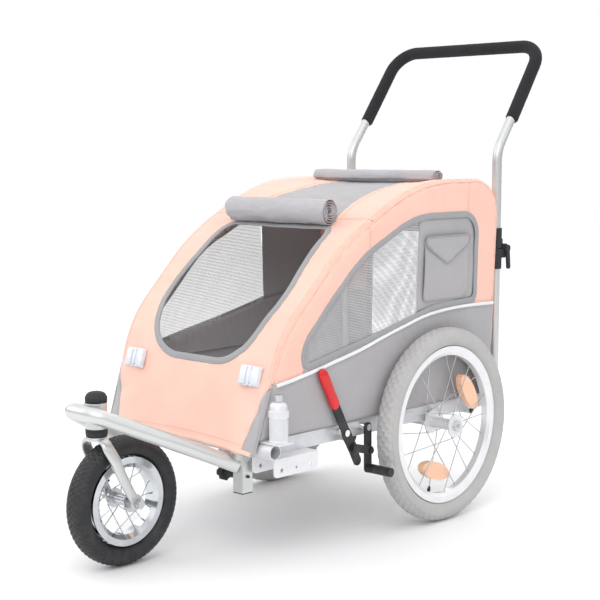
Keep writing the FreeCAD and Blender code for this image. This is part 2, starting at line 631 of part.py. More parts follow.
def rear_wheels():
    inner = REAR_RIM_R - REAR_RIM_DEPTH
    axles = []
    for side, sign in (("left", 1), ("right", -1)):
        at = (sign * REAR_X, REAR_Y, REAR_R)
        PARTS["rear_tyre_" + side] = moved(tyre(REAR_R, REAR_RIM_R, REAR_TYRE_W, REAR_RIM_W), *at)
        PARTS["rear_rim_" + side] = moved(rim(REAR_RIM_R, REAR_RIM_W, REAR_RIM_DEPTH), *at)
        body = hub(REAR_FLANGE_R, REAR_FLANGE_X, HUB_END, REAR_HUB_R, REAR_AXLE_R + RUN_GAP)
        PARTS["rear_hub_" + side] = moved(body, *at)
        PARTS["rear_spokes_" + side] = moved(spokes(REAR_SPOKES, REAR_FLANGE_R, REAR_FLANGE_X, inner), *at)
        PARTS["rear_reflectors_" + side] = moved(reflectors(), *at)
        axle = revolved_axle(sign)
        axles.append(moved(axle, 0, REAR_Y, REAR_R))
        inner_x = sign * (REAR_X + AXLE_OUT - 16)
        outer_x = sign * (REAR_X + AXLE_OUT + BUTTON_OUT)
        PARTS["axle_button_" + side] = pin_x(*sorted((inner_x, outer_x)), REAR_Y, REAR_R, BUTTON_R)
    PARTS["rear_axles"] = Part.Compound(axles)


def revolved_axle(sign):
    """Push-in axle: shaft, collar outside the hub, and a bore for its release button."""
    start = AXLE_TUBE_X - 60
    end = REAR_X + AXLE_OUT
    collar = REAR_X + HUB_END + SIDE_GAP
    bore = BUTTON_R + RUN_GAP
    floor = end - 16 - 4.5
    profile = [(start, 0), (floor, 0), (floor, bore), (end, bore), (end, 11.5), (collar, 11.5),
               (collar, REAR_AXLE_R), (start, REAR_AXLE_R)]
    axle = revolved(profile)
    return axle if sign > 0 else mirrored(axle)


def reflectors():
    """Two oval reflectors between the spoke planes."""
    ovals = []
    for degrees in (-109.0, 35.0):
        oval = Part.Ellipse(V(0, 0, 0), REFLECTOR_W / 2, REFLECTOR_H / 2).toShape()
        oval.rotate(V(0, 0, 0), V(0, 1, 0), 90)
        oval.rotate(V(0, 0, 0), V(1, 0, 0), 90)
        solid = Part.Face(Part.Wire(oval)).extrude(V(REFLECTOR_T, 0, 0))
        solid.translate(V(-REFLECTOR_T / 2, 0, REFLECTOR_AT))
        solid.rotate(V(0, 0, 0), V(1, 0, 0), degrees - 90)
        ovals.append(solid)
    return Part.Compound(ovals)


# ---------------------------------------------------------------- hitch
def hitch():
    top = RAIL_Z0
    low = top - HITCH_DROP
    channel = box(HITCH_X0, HITCH_X1, HITCH_Y0, HITCH_Y1, low, top)
    channel = channel.cut(box(HITCH_X0 + HITCH_T, HITCH_X1 - HITCH_T, HITCH_Y0 - 1, HITCH_Y1 + 1,
                              low - 1, top - HITCH_T))
    corners = [e for e in channel.Edges
               if e.BoundBox.YLength < 0.1 and e.BoundBox.ZLength < 0.1 and e.BoundBox.ZMin < low + 1
               and e.BoundBox.XLength < HITCH_T + 0.1]
    channel = channel.makeFillet(8.0, corners)
    middle = (HITCH_Y0 + HITCH_Y1) / 2
    for k in (-1, 1):
        channel = channel.cut(pin_x(0, 300, middle + k * HITCH_HOLE_PITCH, low + 12, HITCH_HOLE_R))
    channel = channel.cut(pin_x(HITCH_X1 - HITCH_T - 1, 300, middle, low + 12, 3.0))
    channel = channel.cut(pin_x(0, SOCKET_X + 5, CROSS_Y, FRAME_Z, CROSS_R))
    PARTS["hitch_bracket"] = max(channel.Solids, key=lambda s: s.Volume)

    base_z = RAIL_Z1
    deck_z = base_z + LOCK_BASE_T
    deck = box(RAIL_X - 1.0, LOCK_X + LOCK_R, LOCK_Y - LOCK_R, LOCK_Y + LOCK_R, base_z, deck_z)
    foot = V(LOCK_X, LOCK_Y, deck_z)
    neck_end = foot + V(0, 0, LOCK_H * LOCK_NECK_SHARE)
    ring_end = foot + V(0, 0, LOCK_H * LOCK_RING_SHARE)
    tower = rod(foot, neck_end, LOCK_NECK_R)
    tower = tower.fuse(rod(neck_end, ring_end, LOCK_R))
    tower = tower.fuse(rod(ring_end, foot + V(0, 0, LOCK_H), LOCK_TOP_R))
    body = deck.fuse(tower)
    body = body.cut(rod(V(LOCK_X, LOCK_Y, base_z - 1), V(LOCK_X, LOCK_Y, base_z + 200), LOCK_BORE))
    PARTS["hitch_lock_body"] = body.removeSplitter()

    knob_z = base_z + LOCK_BASE_T + LOCK_H + SIDE_GAP
    plunger = rod(V(LOCK_X, LOCK_Y, base_z + 1), V(LOCK_X, LOCK_Y, knob_z), LOCK_BORE - RUN_GAP)
    knob = rod(V(LOCK_X, LOCK_Y, knob_z), V(LOCK_X, LOCK_Y, knob_z + PULL_H), PULL_R)
    PARTS["hitch_plunger"] = plunger.fuse(knob).removeSplitter()


# ---------------------------------------------------------------- brakes
def brakes():
    pins = []
    for side, sign in (("left", 1), ("right", -1)):
        def place(shape):
            return shape if sign > 0 else mirrored(shape)

        outer = BAR_X0 + BAR_T
        lever = link_plate(LEVER_TOP, LEVER_FOOT, BAR_X0, BAR_T, BAR_W)
        lever = lever.fuse(link_plate((LEVER_Y, LEVER_Z), LEVER_STUD, BAR_X0, BAR_T, BAR_W + 3))
        lever = lever.cut(pin_x(0, 300, LEVER_Y, LEVER_Z, PIN_R + RUN_GAP))
        lever = lever.fuse(pin_x(outer, outer + 1 + LINK_T + 2.3, *LEVER_STUD, STUD_R))
        lever = lever.fuse(pin_x(outer + 1 + LINK_T + SIDE_GAP, outer + 1 + LINK_T + 2.3, *LEVER_STUD, 6))
        PARTS["brake_lever_" + side] = place(lever.removeSplitter())

        arm = link_plate((ARM_Y, ARM_Z), (PAD_Y, PAD_Z), BAR_X0, BAR_T, BAR_W)
        arm = arm.cut(pin_x(0, 300, ARM_Y, ARM_Z, PIN_R + RUN_GAP))
        arm = arm.fuse(pin_x(outer, outer + 1 + LINK_T + 2.3, *ARM_STUD, STUD_R))
        arm = arm.fuse(pin_x(outer + 1 + LINK_T + SIDE_GAP, outer + 1 + LINK_T + 2.3, *ARM_STUD, 6))
        arm = arm.fuse(pin_x(BAR_X0, PAD_END_X, PAD_Y, PAD_Z, PAD_R))
        PARTS["brake_arm_" + side] = place(arm.removeSplitter())

        link = link_plate(LEVER_STUD, ARM_STUD, outer + 1, LINK_T, BAR_W - 3)
        link = link.cut(pin_x(0, 300, *LEVER_STUD, STUD_R + RUN_GAP))
        link = link.cut(pin_x(0, 300, *ARM_STUD, STUD_R + EYE_PLAY))
        PARTS["brake_link_" + side] = place(link)

        PARTS["brake_grip_" + side] = place(brake_grip())
        for y, z in ((LEVER_Y, LEVER_Z), (ARM_Y, ARM_Z)):
            pin = pin_x(RAIL_X, BAR_X0 - SIDE_GAP, y, z, PIN_R + 3)
            pin = pin.fuse(pin_x(RAIL_X, outer + 2.5, y, z, PIN_R))
            pin = pin.fuse(pin_x(outer + SIDE_GAP, outer + 2.5, y, z, PIN_R + 2.5))
            pins.append(place(pin.removeSplitter()))
    PARTS["brake_pivots"] = Part.Compound(pins)


def brake_grip():
    """Moulded sleeve over the upper end of the lever, closed at its tip."""
    run = V(0, LEVER_FOOT[0] - LEVER_TOP[0], LEVER_FOOT[1] - LEVER_TOP[1]).normalize()
    side = run.cross(V(1, 0, 0)) * (BRAKE_GRIP_W / 2)
    middle_x = BAR_X0 + BAR_T / 2
    first = V(middle_x - BRAKE_GRIP_T / 2, *LEVER_TOP) - run * (BAR_W / 2 + 3)
    last = first + run * BRAKE_GRIP_L
    outline = Part.makePolygon([first + side, last + side, last - side, first - side, first + side])
    grip = Part.Face(outline).extrude(V(BRAKE_GRIP_T, 0, 0))
    ends = [e for e in grip.Edges if e.BoundBox.XLength > BRAKE_GRIP_T - 0.1]
    grip = grip.makeFillet(8.0, ends)
    rims = [e for e in grip.Edges if e.BoundBox.XLength < 0.1]
    grip = grip.makeFillet(3.0, rims)
    return grip.cut(link_plate(LEVER_TOP, LEVER_FOOT, BAR_X0, BAR_T, BAR_W))


# ---------------------------------------------------------------- push handle
def handle():
    low = V(HANDLE_X, UPRIGHT_Y, RAIL_Z0)
    split = PIVOT_Z
    PARTS["handle_uprights"] = pair(pipe_straight(low, V(HANDLE_X, UPRIGHT_Y, split - 1),
                                                  HANDLE_R, HANDLE_R - HANDLE_WALL))
    half = [V(HANDLE_X, UPRIGHT_Y, split + 1), V(HANDLE_X, UPRIGHT_Y, HANDLE_KNEE_Z),
            V(HANDLE_TOP_X, REAR_Y + HANDLE_BACK, HANDLE_TOP_Z)]
    points = half + [V(-p.x, p.y, p.z) for p in reversed(half)]
    path = rounded_path(points, [HANDLE_KNEE_R, HANDLE_CORNER_R, HANDLE_CORNER_R, HANDLE_KNEE_R])
    PARTS["handle_tube"] = swept_tube(path, HANDLE_R, HANDLE_WALL)

    knee, top = half[1], half[2]
    start = knee + (top - knee) * GRIP_START
    points = [start, top, V(-top.x, top.y, top.z), V(-start.x, start.y, start.z)]
    grip_path = rounded_path(points, [HANDLE_CORNER_R, HANDLE_CORNER_R])
    PARTS["handle_grip"] = swept(grip_path, GRIP_R).cut(swept(grip_path, HANDLE_R + 2 * RUN_GAP))

    pivot_y = UPRIGHT_Y + PIVOT_BACK
    wide = HINGE_W / 2
    brackets, tongues = [], []
    for x in (HANDLE_X, -HANDLE_X):
        sleeve = rod(V(x, UPRIGHT_Y, PIVOT_Z - HINGE_H), V(x, UPRIGHT_Y, PIVOT_Z - 1), wide)
        ears = box(x - wide, x + wide, UPRIGHT_Y, pivot_y, PIVOT_Z - EAR_R * 2, PIVOT_Z - 1)
        ears = ears.fuse(pin_x(x - wide, x + wide, pivot_y, PIVOT_Z, EAR_R))
        slot = box(x - TONGUE_T / 2 - SIDE_GAP, x + TONGUE_T / 2 + SIDE_GAP, UPRIGHT_Y,
                   pivot_y + 30, PIVOT_Z - EAR_R - 6, PIVOT_Z + 30)
        above = box(x - wide - 1, x + wide + 1, UPRIGHT_Y - 30, pivot_y - EAR_R - 1,
                    PIVOT_Z - 1, PIVOT_Z + 30)
        lower = sleeve.fuse(ears).cut(slot).cut(above)
        lower = lower.cut(rod(V(x, UPRIGHT_Y, 300), V(x, UPRIGHT_Y, PIVOT_Z + 20), HANDLE_R))
        lower = lower.cut(pin_x(x - 40, x + 40, pivot_y, PIVOT_Z, HINGE_PIN_R + RUN_GAP))
        brackets.append(lower.removeSplitter())

        cap = rod(V(x, UPRIGHT_Y, PIVOT_Z + 1), V(x, UPRIGHT_Y, PIVOT_Z + HINGE_H), wide)
        cap = cap.cut(box(x - 30, x + 30, pivot_y - EAR_R - 1, pivot_y + 30, PIVOT_Z, PIVOT_Z + EAR_R + 1))
        tongue = box(x - TONGUE_T / 2, x + TONGUE_T / 2, UPRIGHT_Y + HANDLE_R, pivot_y,
                     PIVOT_Z + 1, PIVOT_Z + EAR_R * 2)
        tongue = tongue.fuse(pin_x(x - TONGUE_T / 2, x + TONGUE_T / 2, pivot_y, PIVOT_Z,
                                     PIVOT_BACK - HANDLE_R - SIDE_GAP))
        upper = cap.fuse(tongue)
        upper = upper.cut(rod(V(x, UPRIGHT_Y, PIVOT_Z - 20), V(x, UPRIGHT_Y, PIVOT_Z + 80), HANDLE_R))
        upper = upper.cut(pin_x(x - 40, x + 40, pivot_y, PIVOT_Z, HINGE_PIN_R + RUN_GAP))
        tongues.append(upper.removeSplitter())
    PARTS["hinge_brackets"] = Part.Compound(brackets)
    PARTS["hinge_tongues"] = Part.Compound(tongues)

    for side, sign in (("left", 1), ("right", -1)):
        inner = HANDLE_X - wide - 3
        outer = HANDLE_X + wide + SIDE_GAP
        bolt = pin_x(inner, outer + 7, pivot_y, PIVOT_Z, HINGE_PIN_R)
        bolt = bolt.fuse(pin_x(outer, outer + 7, pivot_y, PIVOT_Z, 8))
        bolt = bolt.fuse(pin_x(inner, HANDLE_X - wide - SIDE_GAP, pivot_y, PIVOT_Z, 6.5))
        lever = link_plate((pivot_y, PIVOT_Z), (pivot_y + 4, PIVOT_Z - CAM_L), outer + 2, 5, 10)
        bolt = bolt.fuse(lever).removeSplitter()
        PARTS["hinge_cam_" + side] = bolt if sign > 0 else mirrored(bolt)


def main():
    floor_frame()
    cabin()
    hoops()
    rolls_and_clips()
    yoke()
    head()
    fork()
    front_wheel()
    rear_wheels()
    hitch()
    brakes()
    handle()
    os.makedirs("parts", exist_ok=True)
    for name, shape in PARTS.items():
        shape.exportStep("parts/" + name + ".step")
        print(name, len(shape.Solids), round(shape.Volume), shape.isValid())
    print(len(PARTS), "nodes")


main()
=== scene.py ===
import logging
import math
from collections.abc import Callable, Iterable, Sequence
from dataclasses import dataclass
from enum import Enum

import bmesh
import bpy
import numpy as np
from mathutils import Matrix, Vector, noise
from mathutils.geometry import delaunay_2d_cdt


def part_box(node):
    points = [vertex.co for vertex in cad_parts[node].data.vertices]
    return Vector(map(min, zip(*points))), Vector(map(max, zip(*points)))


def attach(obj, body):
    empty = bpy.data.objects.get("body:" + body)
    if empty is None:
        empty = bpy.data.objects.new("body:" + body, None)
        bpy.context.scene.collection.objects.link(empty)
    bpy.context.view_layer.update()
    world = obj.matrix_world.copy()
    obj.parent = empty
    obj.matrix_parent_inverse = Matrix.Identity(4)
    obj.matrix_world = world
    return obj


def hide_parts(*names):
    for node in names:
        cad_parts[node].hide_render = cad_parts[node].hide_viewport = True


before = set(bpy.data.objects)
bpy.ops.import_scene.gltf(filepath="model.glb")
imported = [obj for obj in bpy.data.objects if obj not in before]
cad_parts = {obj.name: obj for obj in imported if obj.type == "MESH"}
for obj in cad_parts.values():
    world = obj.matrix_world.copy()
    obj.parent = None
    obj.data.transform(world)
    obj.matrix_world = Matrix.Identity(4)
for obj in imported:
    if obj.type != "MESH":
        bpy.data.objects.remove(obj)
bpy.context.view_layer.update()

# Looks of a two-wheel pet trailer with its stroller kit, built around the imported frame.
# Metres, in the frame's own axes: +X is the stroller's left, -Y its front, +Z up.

logging.basicConfig(level=logging.INFO, format="%(message)s")
LOG = logging.getLogger("pet_stroller")

Colour = tuple[float, float, float, float]
Section = Callable[[float], np.ndarray]
TAU = 2.0 * math.pi


class Side(Enum):
    """The two sides of the stroller."""

    LEFT = 1
    RIGHT = -1

    @property
    def word(self) -> str:
        """The side's name as it stands in node and body names."""
        return self.name.lower()


class Slot(Enum):
    """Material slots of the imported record."""

    ZINC = "zinc_tube"
    RAIL = "rail_metal"
    HITCH = "hitch_paint"
    BLACK_STEEL = "black_steel"
    RED_GRIP = "red_grip"
    FOAM = "foam"
    TYRE_BLACK = "tyre_black"
    TYRE_GREY = "tyre_grey"
    RIM_CHROME = "rim_chrome"
    RIM_SILVER = "rim_silver"
    BRIGHT = "bright_metal"
    PEACH = "peach_fabric"
    GREY = "grey_fabric"
    MESH = "mesh_fabric"
    CLIP = "clip_plastic"
    AMBER = "reflector_amber"
    BLACK_PLASTIC = "black_plastic"


# ------------------------------------------------------------------ shader groups
def display(red: int, green: int, blue: int) -> Colour:
    """Linear colour for an 8-bit display colour.

    Args:
        red: Red, 0 to 255.
        green: Green, 0 to 255.
        blue: Blue, 0 to 255.

    Returns:
        The linear colour with alpha 1.
    """
    values = []
    for level in (red, green, blue):
        share = level / 255.0
        values.append(share / 12.92 if share <= 0.04045 else ((share + 0.055) / 1.055) ** 2.4)
    return (values[0], values[1], values[2], 1.0)


class Tree:
    """A node tree with short calls for adding and joining nodes."""

    def __init__(self, tree: bpy.types.NodeTree) -> None:
        """Wraps a tree.

        Args:
            tree: The node tree to fill.
        """
        self.tree = tree

    def add(self, kind: str, **settings: object) -> bpy.types.Node:
        """Adds a node; settings name its properties, or its inputs with blanks as underscores.

        Args:
            kind: The node's type name.
            **settings: Values, or sockets to join to the inputs.

        Returns:
            The new node.
        """
        node = self.tree.nodes.new(kind)
        for name, value in settings.items():
            socket = node.inputs.get(name.replace("_", " ").title())
            if socket is None:
                setattr(node, name, value)
            else:
                self.feed(socket, value)
        return node

    def feed(self, socket: bpy.types.NodeSocket, value: object) -> None:
        """Joins another socket to an input, or sets the input's value.

        Args:
            socket: The input.
            value: A value, or an output socket.
        """
        if isinstance(value, bpy.types.NodeSocket):
            self.tree.links.new(value, socket)
        else:
            socket.default_value = value

    def join(self, output: bpy.types.NodeSocket, target: bpy.types.NodeSocket) -> None:
        """Links an output to an input."""
        self.tree.links.new(output, target)

    def maths(self, operation: str, *values: object) -> bpy.types.NodeSocket:
        """Adds a Math node.

        Args:
            operation: The node's operation.
            *values: Numbers or sockets for its inputs.

        Returns:
            The node's output.
        """
        node = self.tree.nodes.new("ShaderNodeMath")
        node.operation = operation
        for socket, value in zip(node.inputs, values):
            self.feed(socket, value)
        return node.outputs[0]

    def blend(self, mask: bpy.types.NodeSocket, first: object,
              second: object) -> bpy.types.NodeSocket:
        """Mixes two colours by a mask.

        Args:
            mask: 0 gives first, 1 gives second.
            first: A colour or a colour socket.
            second: A colour or a colour socket.

        Returns:
            The mixed colour.
        """
        node = self.tree.nodes.new("ShaderNodeMix")
        node.data_type = "RGBA"
        self.tree.links.new(mask, node.inputs[0])
        self.feed(node.inputs[6], first)
        self.feed(node.inputs[7], second)
        return node.outputs[2]


def new_group(name: str, inputs: Sequence[tuple[str, str, object]],
              outputs: Sequence[str]) -> tuple[Tree, bpy.types.Node, bpy.types.Node]:
    """Starts a shader node group.

    Args:
        name: The group's name.
        inputs: Name, socket type and default of each input.
        outputs: Names of its float outputs.

    Returns:
        The tree, its group input node and its group output node.
    """
    group = bpy.data.node_groups.new(name, "ShaderNodeTree")
    for label, kind, value in inputs:
        socket = group.interface.new_socket(name=label, in_out="INPUT", socket_type=kind)
        if value is not None:
            socket.default_value = value
    for label in outputs:
        group.interface.new_socket(name=label, in_out="OUTPUT", socket_type="NodeSocketFloat")
    tree = Tree(group)
    return tree, tree.add("NodeGroupInput"), tree.add("NodeGroupOutput")


def weave_group() -> bpy.types.NodeTree:
    """Plain weave in three directions at once, so that it holds on any face.

    Returns:
        A group with a Height and a slub Shade.
    """
    tree, given, result = new_group(
        "weave", [("Vector", "NodeSocketVector", None), ("Pitch", "NodeSocketFloat", 0.0011)],
        ["Height", "Shade"])
    parts = tree.add("ShaderNodeSeparateXYZ", vector=given.outputs["Vector"])
    rate = tree.maths("DIVIDE", math.pi, given.outputs["Pitch"])
    waves = [tree.maths("SINE", tree.maths("MULTIPLY", axis, rate)) for axis in parts.outputs]
    crossed = [tree.maths("MULTIPLY", waves[a], waves[b]) for a, b in ((0, 1), (1, 2), (2, 0))]
    total = tree.maths("ADD", tree.maths("ADD", crossed[0], crossed[1]), crossed[2])
    tree.join(total, result.inputs["Height"])
    slub = tree.add("ShaderNodeTexNoise", vector=given.outputs["Vector"], scale=260.0, detail=2.0)
    tree.join(slub.outputs["Fac"], result.inputs["Shade"])
    return tree.tree


def mottle_group() -> bpy.types.NodeTree:
    """Slow uneven shade, as of cloth, rubber or plated steel.

    Returns:
        A group with a Mask centred on one half.
    """
    tree, given, result = new_group(
        "mottle", [("Vector", "NodeSocketVector", None), ("Scale", "NodeSocketFloat", 14.0),
                   ("Contrast", "NodeSocketFloat", 1.0)], ["Mask"])
    cloud = tree.add("ShaderNodeTexNoise", vector=given.outputs["Vector"],
                     scale=given.outputs["Scale"], detail=5.0, roughness=0.6)
    centred = tree.maths("SUBTRACT", cloud.outputs["Fac"], 0.5)
    spread = tree.maths("MULTIPLY", centred, given.outputs["Contrast"])
    mask = tree.add("ShaderNodeClamp", value=tree.maths("ADD", spread, 0.5))
    tree.join(mask.outputs[0], result.inputs["Mask"])
    return tree.tree


def grain_group() -> bpy.types.NodeTree:
    """Fine pebbled grain of moulded plastic, foam or cast rubber.

    Returns:
        A group with a Height.
    """
    tree, given, result = new_group(
        "grain", [("Vector", "NodeSocketVector", None), ("Scale", "NodeSocketFloat", 900.0)],
        ["Height"])
    cells = tree.add("ShaderNodeTexVoronoi", vector=given.outputs["Vector"],
                     scale=given.outputs["Scale"])
    cells.feature = "SMOOTH_F1"
    tree.join(cells.outputs["Distance"], result.inputs["Height"])
    return tree.tree


def edge_wear_group() -> bpy.types.NodeTree:
    """Rubbed edges, found by how sharply the surface turns outwards.

    Returns:
        A group with a Mask.
    """
    tree, given, result = new_group(
        "edge_wear", [("Vector", "NodeSocketVector", None), ("Amount", "NodeSocketFloat", 0.6)],
        ["Mask"])
    shape = tree.add("ShaderNodeNewGeometry")
    edge = tree.add("ShaderNodeMapRange", value=shape.outputs["Pointiness"], from_min=0.52,
                    from_max=0.62)
    patchy = tree.add("ShaderNodeTexNoise", vector=given.outputs["Vector"], scale=90.0, detail=4.0)
    rough = tree.add("ShaderNodeMapRange", value=patchy.outputs["Fac"], from_min=0.4, from_max=0.7)
    both = tree.maths("MULTIPLY", edge.outputs[0], rough.outputs[0])
    tree.join(tree.maths("MULTIPLY", both, given.outputs["Amount"]), result.inputs["Mask"])
    return tree.tree


def dust_group() -> bpy.types.NodeTree:
    """Road dust that thickens towards the floor.

    Returns:
        A group with a Mask.
    """
    tree, given, result = new_group(
        "dust", [("Vector", "NodeSocketVector", None), ("Top", "NodeSocketFloat", 0.3),
                 ("Amount", "NodeSocketFloat", 0.2)], ["Mask"])
    parts = tree.add("ShaderNodeSeparateXYZ", vector=given.outputs["Vector"])
    low = tree.add("ShaderNodeMapRange", value=parts.outputs["Z"], from_min=0.0,
                   from_max=given.outputs["Top"], to_min=1.0, to_max=0.0)
    speck = tree.add("ShaderNodeTexNoise", vector=given.outputs["Vector"], scale=55.0, detail=6.0)
    fine = tree.add("ShaderNodeMapRange", value=speck.outputs["Fac"], from_min=0.42, from_max=0.68)
    both = tree.maths("MULTIPLY", low.outputs[0], fine.outputs[0])
    tree.join(tree.maths("MULTIPLY", both, given.outputs["Amount"]), result.inputs["Mask"])
    return tree.tree


class Effects:
    """The shared shader groups, each built once."""

    def __init__(self) -> None:
        """Builds every group."""
        self.weave = weave_group()
        self.mottle = mottle_group()
        self.grain = grain_group()
        self.edge_wear = edge_wear_group()
        self.dust = dust_group()

    def place(self, tree: Tree, group: bpy.types.NodeTree, **values: object) -> bpy.types.Node:
        """Puts a group into a material.

        Args:
            tree: The material's tree.
            group: The shared group.
            **values: Values or sockets for the group's inputs.

        Returns:
            The group node.
        """
        node = tree.add("ShaderNodeGroup", node_tree=group)
        for name, value in values.items():
            tree.feed(node.inputs[name.title()], value)
        return node


EFFECTS = Effects()


# ------------------------------------------------------------------ finishes
@dataclass(frozen=True)
class Finish:
    """What every finish has: its own name, its record slot and its colours."""

    name: str
    slot: Slot
    colour: Colour
    shade: Colour

    def material(self) -> bpy.types.Material:
        """The finish's material, built on first use."""
        found = bpy.data.materials.get(self.name)
        return found if found is not None else self.build()

    def start(self) -> tuple[bpy.types.Material, Tree, bpy.types.Node, bpy.types.NodeSocket]:
        """Starts a node material.

        Returns:
            The material, its tree, its Principled shader and the object coordinates.
        """
        made = bpy.data.materials.new(self.name)
        made.use_nodes = True
        made.diffuse_color = self.colour
        made.node_tree.nodes.clear()
        tree = Tree(made.node_tree)
        shader = tree.add("ShaderNodeBsdfPrincipled")
        output = tree.add("ShaderNodeOutputMaterial")
        tree.join(shader.outputs["BSDF"], output.inputs["Surface"])
        where = tree.add("ShaderNodeTexCoord").outputs["Object"]
        return made, tree, shader, where

    def build(self) -> bpy.types.Material:
        """Builds the material; each kind of finish has its own."""
        raise NotImplementedError


@dataclass(frozen=True)
class Cloth(Finish):
    """Woven polyester, with weave, slubs and uneven shade."""

    pitch: float = 0.0011
    sheen: float = 0.12
    relief: float = 0.00012

    def build(self) -> bpy.types.Material:
        """Weave height in the bump, mottled shade in the colour.

        Returns:
            The material.
        """
        made, tree, shader, where = self.start()
        weave = EFFECTS.place(tree, EFFECTS.weave, vector=where, pitch=self.pitch)
        clouds = EFFECTS.place(tree, EFFECTS.mottle, vector=where, scale=11.0, contrast=1.6)
        tone = tree.blend(clouds.outputs["Mask"], self.colour, self.shade)
        slub = tree.maths("MULTIPLY", weave.outputs["Shade"], 0.16)
        tree.join(tree.blend(slub, tone, self.shade), shader.inputs["Base Color"])
        shader.inputs["Roughness"].default_value = 0.88
        shader.inputs["Sheen Weight"].default_value = self.sheen
        shader.inputs["Sheen Roughness"].default_value = 0.5
        height = tree.maths("MULTIPLY", weave.outputs["Height"], 0.5)
        bump = tree.add("ShaderNodeBump", height=height, strength=0.5, distance=self.relief)
        tree.join(bump.outputs["Normal"], shader.inputs["Normal"])
        return made


@dataclass(frozen=True)
class Metal(Finish):
    """Bare or plated metal, with streaked roughness and rubbed edges."""

    metallic: float = 0.9
    roughness: float = 0.3
    streak: float = 0.1
    wear: float = 0.35

    def build(self) -> bpy.types.Material:
        """Mottled roughness, worn edges and a trace of dust.

        Returns:
            The material.
        """
        made, tree, shader, where = self.start()
        clouds = EFFECTS.place(tree, EFFECTS.mottle, vector=where, scale=38.0, contrast=1.8)
        wear = EFFECTS.place(tree, EFFECTS.edge_wear, vector=where, amount=self.wear)
        dust = EFFECTS.place(tree, EFFECTS.dust, vector=where, top=0.22, amount=0.04)
        tone = tree.blend(clouds.outputs["Mask"], self.colour, self.shade)
        rubbed = tree.blend(wear.outputs["Mask"], tone, self.colour)
        dusty = tree.blend(dust.outputs["Mask"], rubbed, display(190, 184, 176))
        tree.join(dusty, shader.inputs["Base Color"])
        shader.inputs["Metallic"].default_value = self.metallic
        change = tree.maths("MULTIPLY", clouds.outputs["Mask"], self.streak)
        rough = tree.maths("ADD", change, self.roughness - self.streak / 2.0)
        tree.join(rough, shader.inputs["Roughness"])
        fine = EFFECTS.place(tree, EFFECTS.grain, vector=where, scale=1400.0)
        bump = tree.add("ShaderNodeBump", height=fine.outputs["Height"], strength=0.08,
                        distance=0.00004)
        tree.join(bump.outputs["Normal"], shader.inputs["Normal"])
        return made


@dataclass(frozen=True)
class Moulded(Finish):
    """Moulded plastic, rubber, foam or powder paint."""

    roughness: float = 0.5
    grain: float = 900.0
    relief: float = 0.00008
    coat: float = 0.0
    dust: float = 0.15
    wear: float = 0.3

    def build(self) -> bpy.types.Material:
        """Grain bump, mottled tone, pale edges and dust near the floor.

        Returns:
            The material.
        """
        made, tree, shader, where = self.start()
        clouds = EFFECTS.place(tree, EFFECTS.mottle, vector=where, scale=30.0, contrast=1.5)
        wear = EFFECTS.place(tree, EFFECTS.edge_wear, vector=where, amount=self.wear)
        dust = EFFECTS.place(tree, EFFECTS.dust, vector=where, top=0.35, amount=self.dust)
        tone = tree.blend(clouds.outputs["Mask"], self.colour, self.shade)
        rubbed = tree.blend(wear.outputs["Mask"], tone, self.shade)
        dusty = tree.blend(dust.outputs["Mask"], rubbed, display(176, 170, 160))
        tree.join(dusty, shader.inputs["Base Color"])
        change = tree.maths("MULTIPLY", clouds.outputs["Mask"], 0.14)
        rough = tree.maths("ADD", change, self.roughness - 0.07)
        tree.join(rough, shader.inputs["Roughness"])
        shader.inputs["Coat Weight"].default_value = self.coat
        grain = EFFECTS.place(tree, EFFECTS.grain, vector=where, scale=self.grain)
        bump = tree.add("ShaderNodeBump", height=grain.outputs["Height"], strength=0.6,
                        distance=self.relief)
        tree.join(bump.outputs["Normal"], shader.inputs["Normal"])
        return made


@dataclass(frozen=True)
class Prismatic(Finish):
    """Reflector plastic with its field of small prisms."""

    cell: float = 0.0035

    def build(self) -> bpy.types.Material:
        """Prism cells in colour and bump under a clear coat.

        Returns:
            The material.
        """
        made, tree, shader, where = self.start()
        cells = tree.add("ShaderNodeTexVoronoi", vector=where, scale=1.0 / self.cell,
                         randomness=0.15)
        edge = tree.add("ShaderNodeMapRange", value=cells.outputs["Distance"], from_min=0.2,
                        from_max=0.6)
        tree.join(tree.blend(edge.outputs[0], self.colour, self.shade), shader.inputs["Base Color"])
        shader.inputs["Roughness"].default_value = 0.22
        shader.inputs["Coat Weight"].default_value = 0.6
        bump = tree.add("ShaderNodeBump", height=cells.outputs["Distance"], strength=0.5,
                        distance=0.0004)
        tree.join(bump.outputs["Normal"], shader.inputs["Normal"])
        return made


PEACH = Cloth("peach_cloth", Slot.PEACH, display(249, 206, 190), display(244, 194, 176))
GREY = Cloth("grey_cloth", Slot.GREY, display(180, 178, 179), display(168, 166, 167))
ROLL = Cloth("rolled_grey_cloth", Slot.GREY, display(190, 188, 191), display(174, 172, 175))
BINDING = Cloth("binding_tape", Slot.GREY, display(164, 165, 166), display(152, 153, 155),
                pitch=0.0007)
PIPING = Cloth("reflective_piping", Slot.GREY, display(246, 246, 247), display(232, 233, 236),
               pitch=0.0006, sheen=0.3)
PEACH_THREAD = Cloth("peach_thread", Slot.PEACH, display(238, 184, 166), display(230, 172, 152),
                     pitch=0.0004)
GREY_THREAD = Cloth("grey_thread", Slot.GREY, display(205, 204, 206), display(192, 191, 193),
                    pitch=0.0004)
NET = Cloth("window_net", Slot.MESH, display(232, 232, 233), display(214, 214, 216),
            pitch=0.0006, sheen=0.0)
ZINC = Metal("zinc_tube", Slot.ZINC, display(150, 158, 168), display(122, 130, 141),
             metallic=1.0, roughness=0.2, streak=0.1)
RAIL = Metal("rail_tube", Slot.RAIL, display(226, 227, 230), display(212, 214, 218),
             metallic=0.35, roughness=0.4)
CHROME = Metal("chromed_rim", Slot.RIM_CHROME, display(214, 217, 220), display(190, 194, 198),
               metallic=1.0, roughness=0.1, streak=0.05)
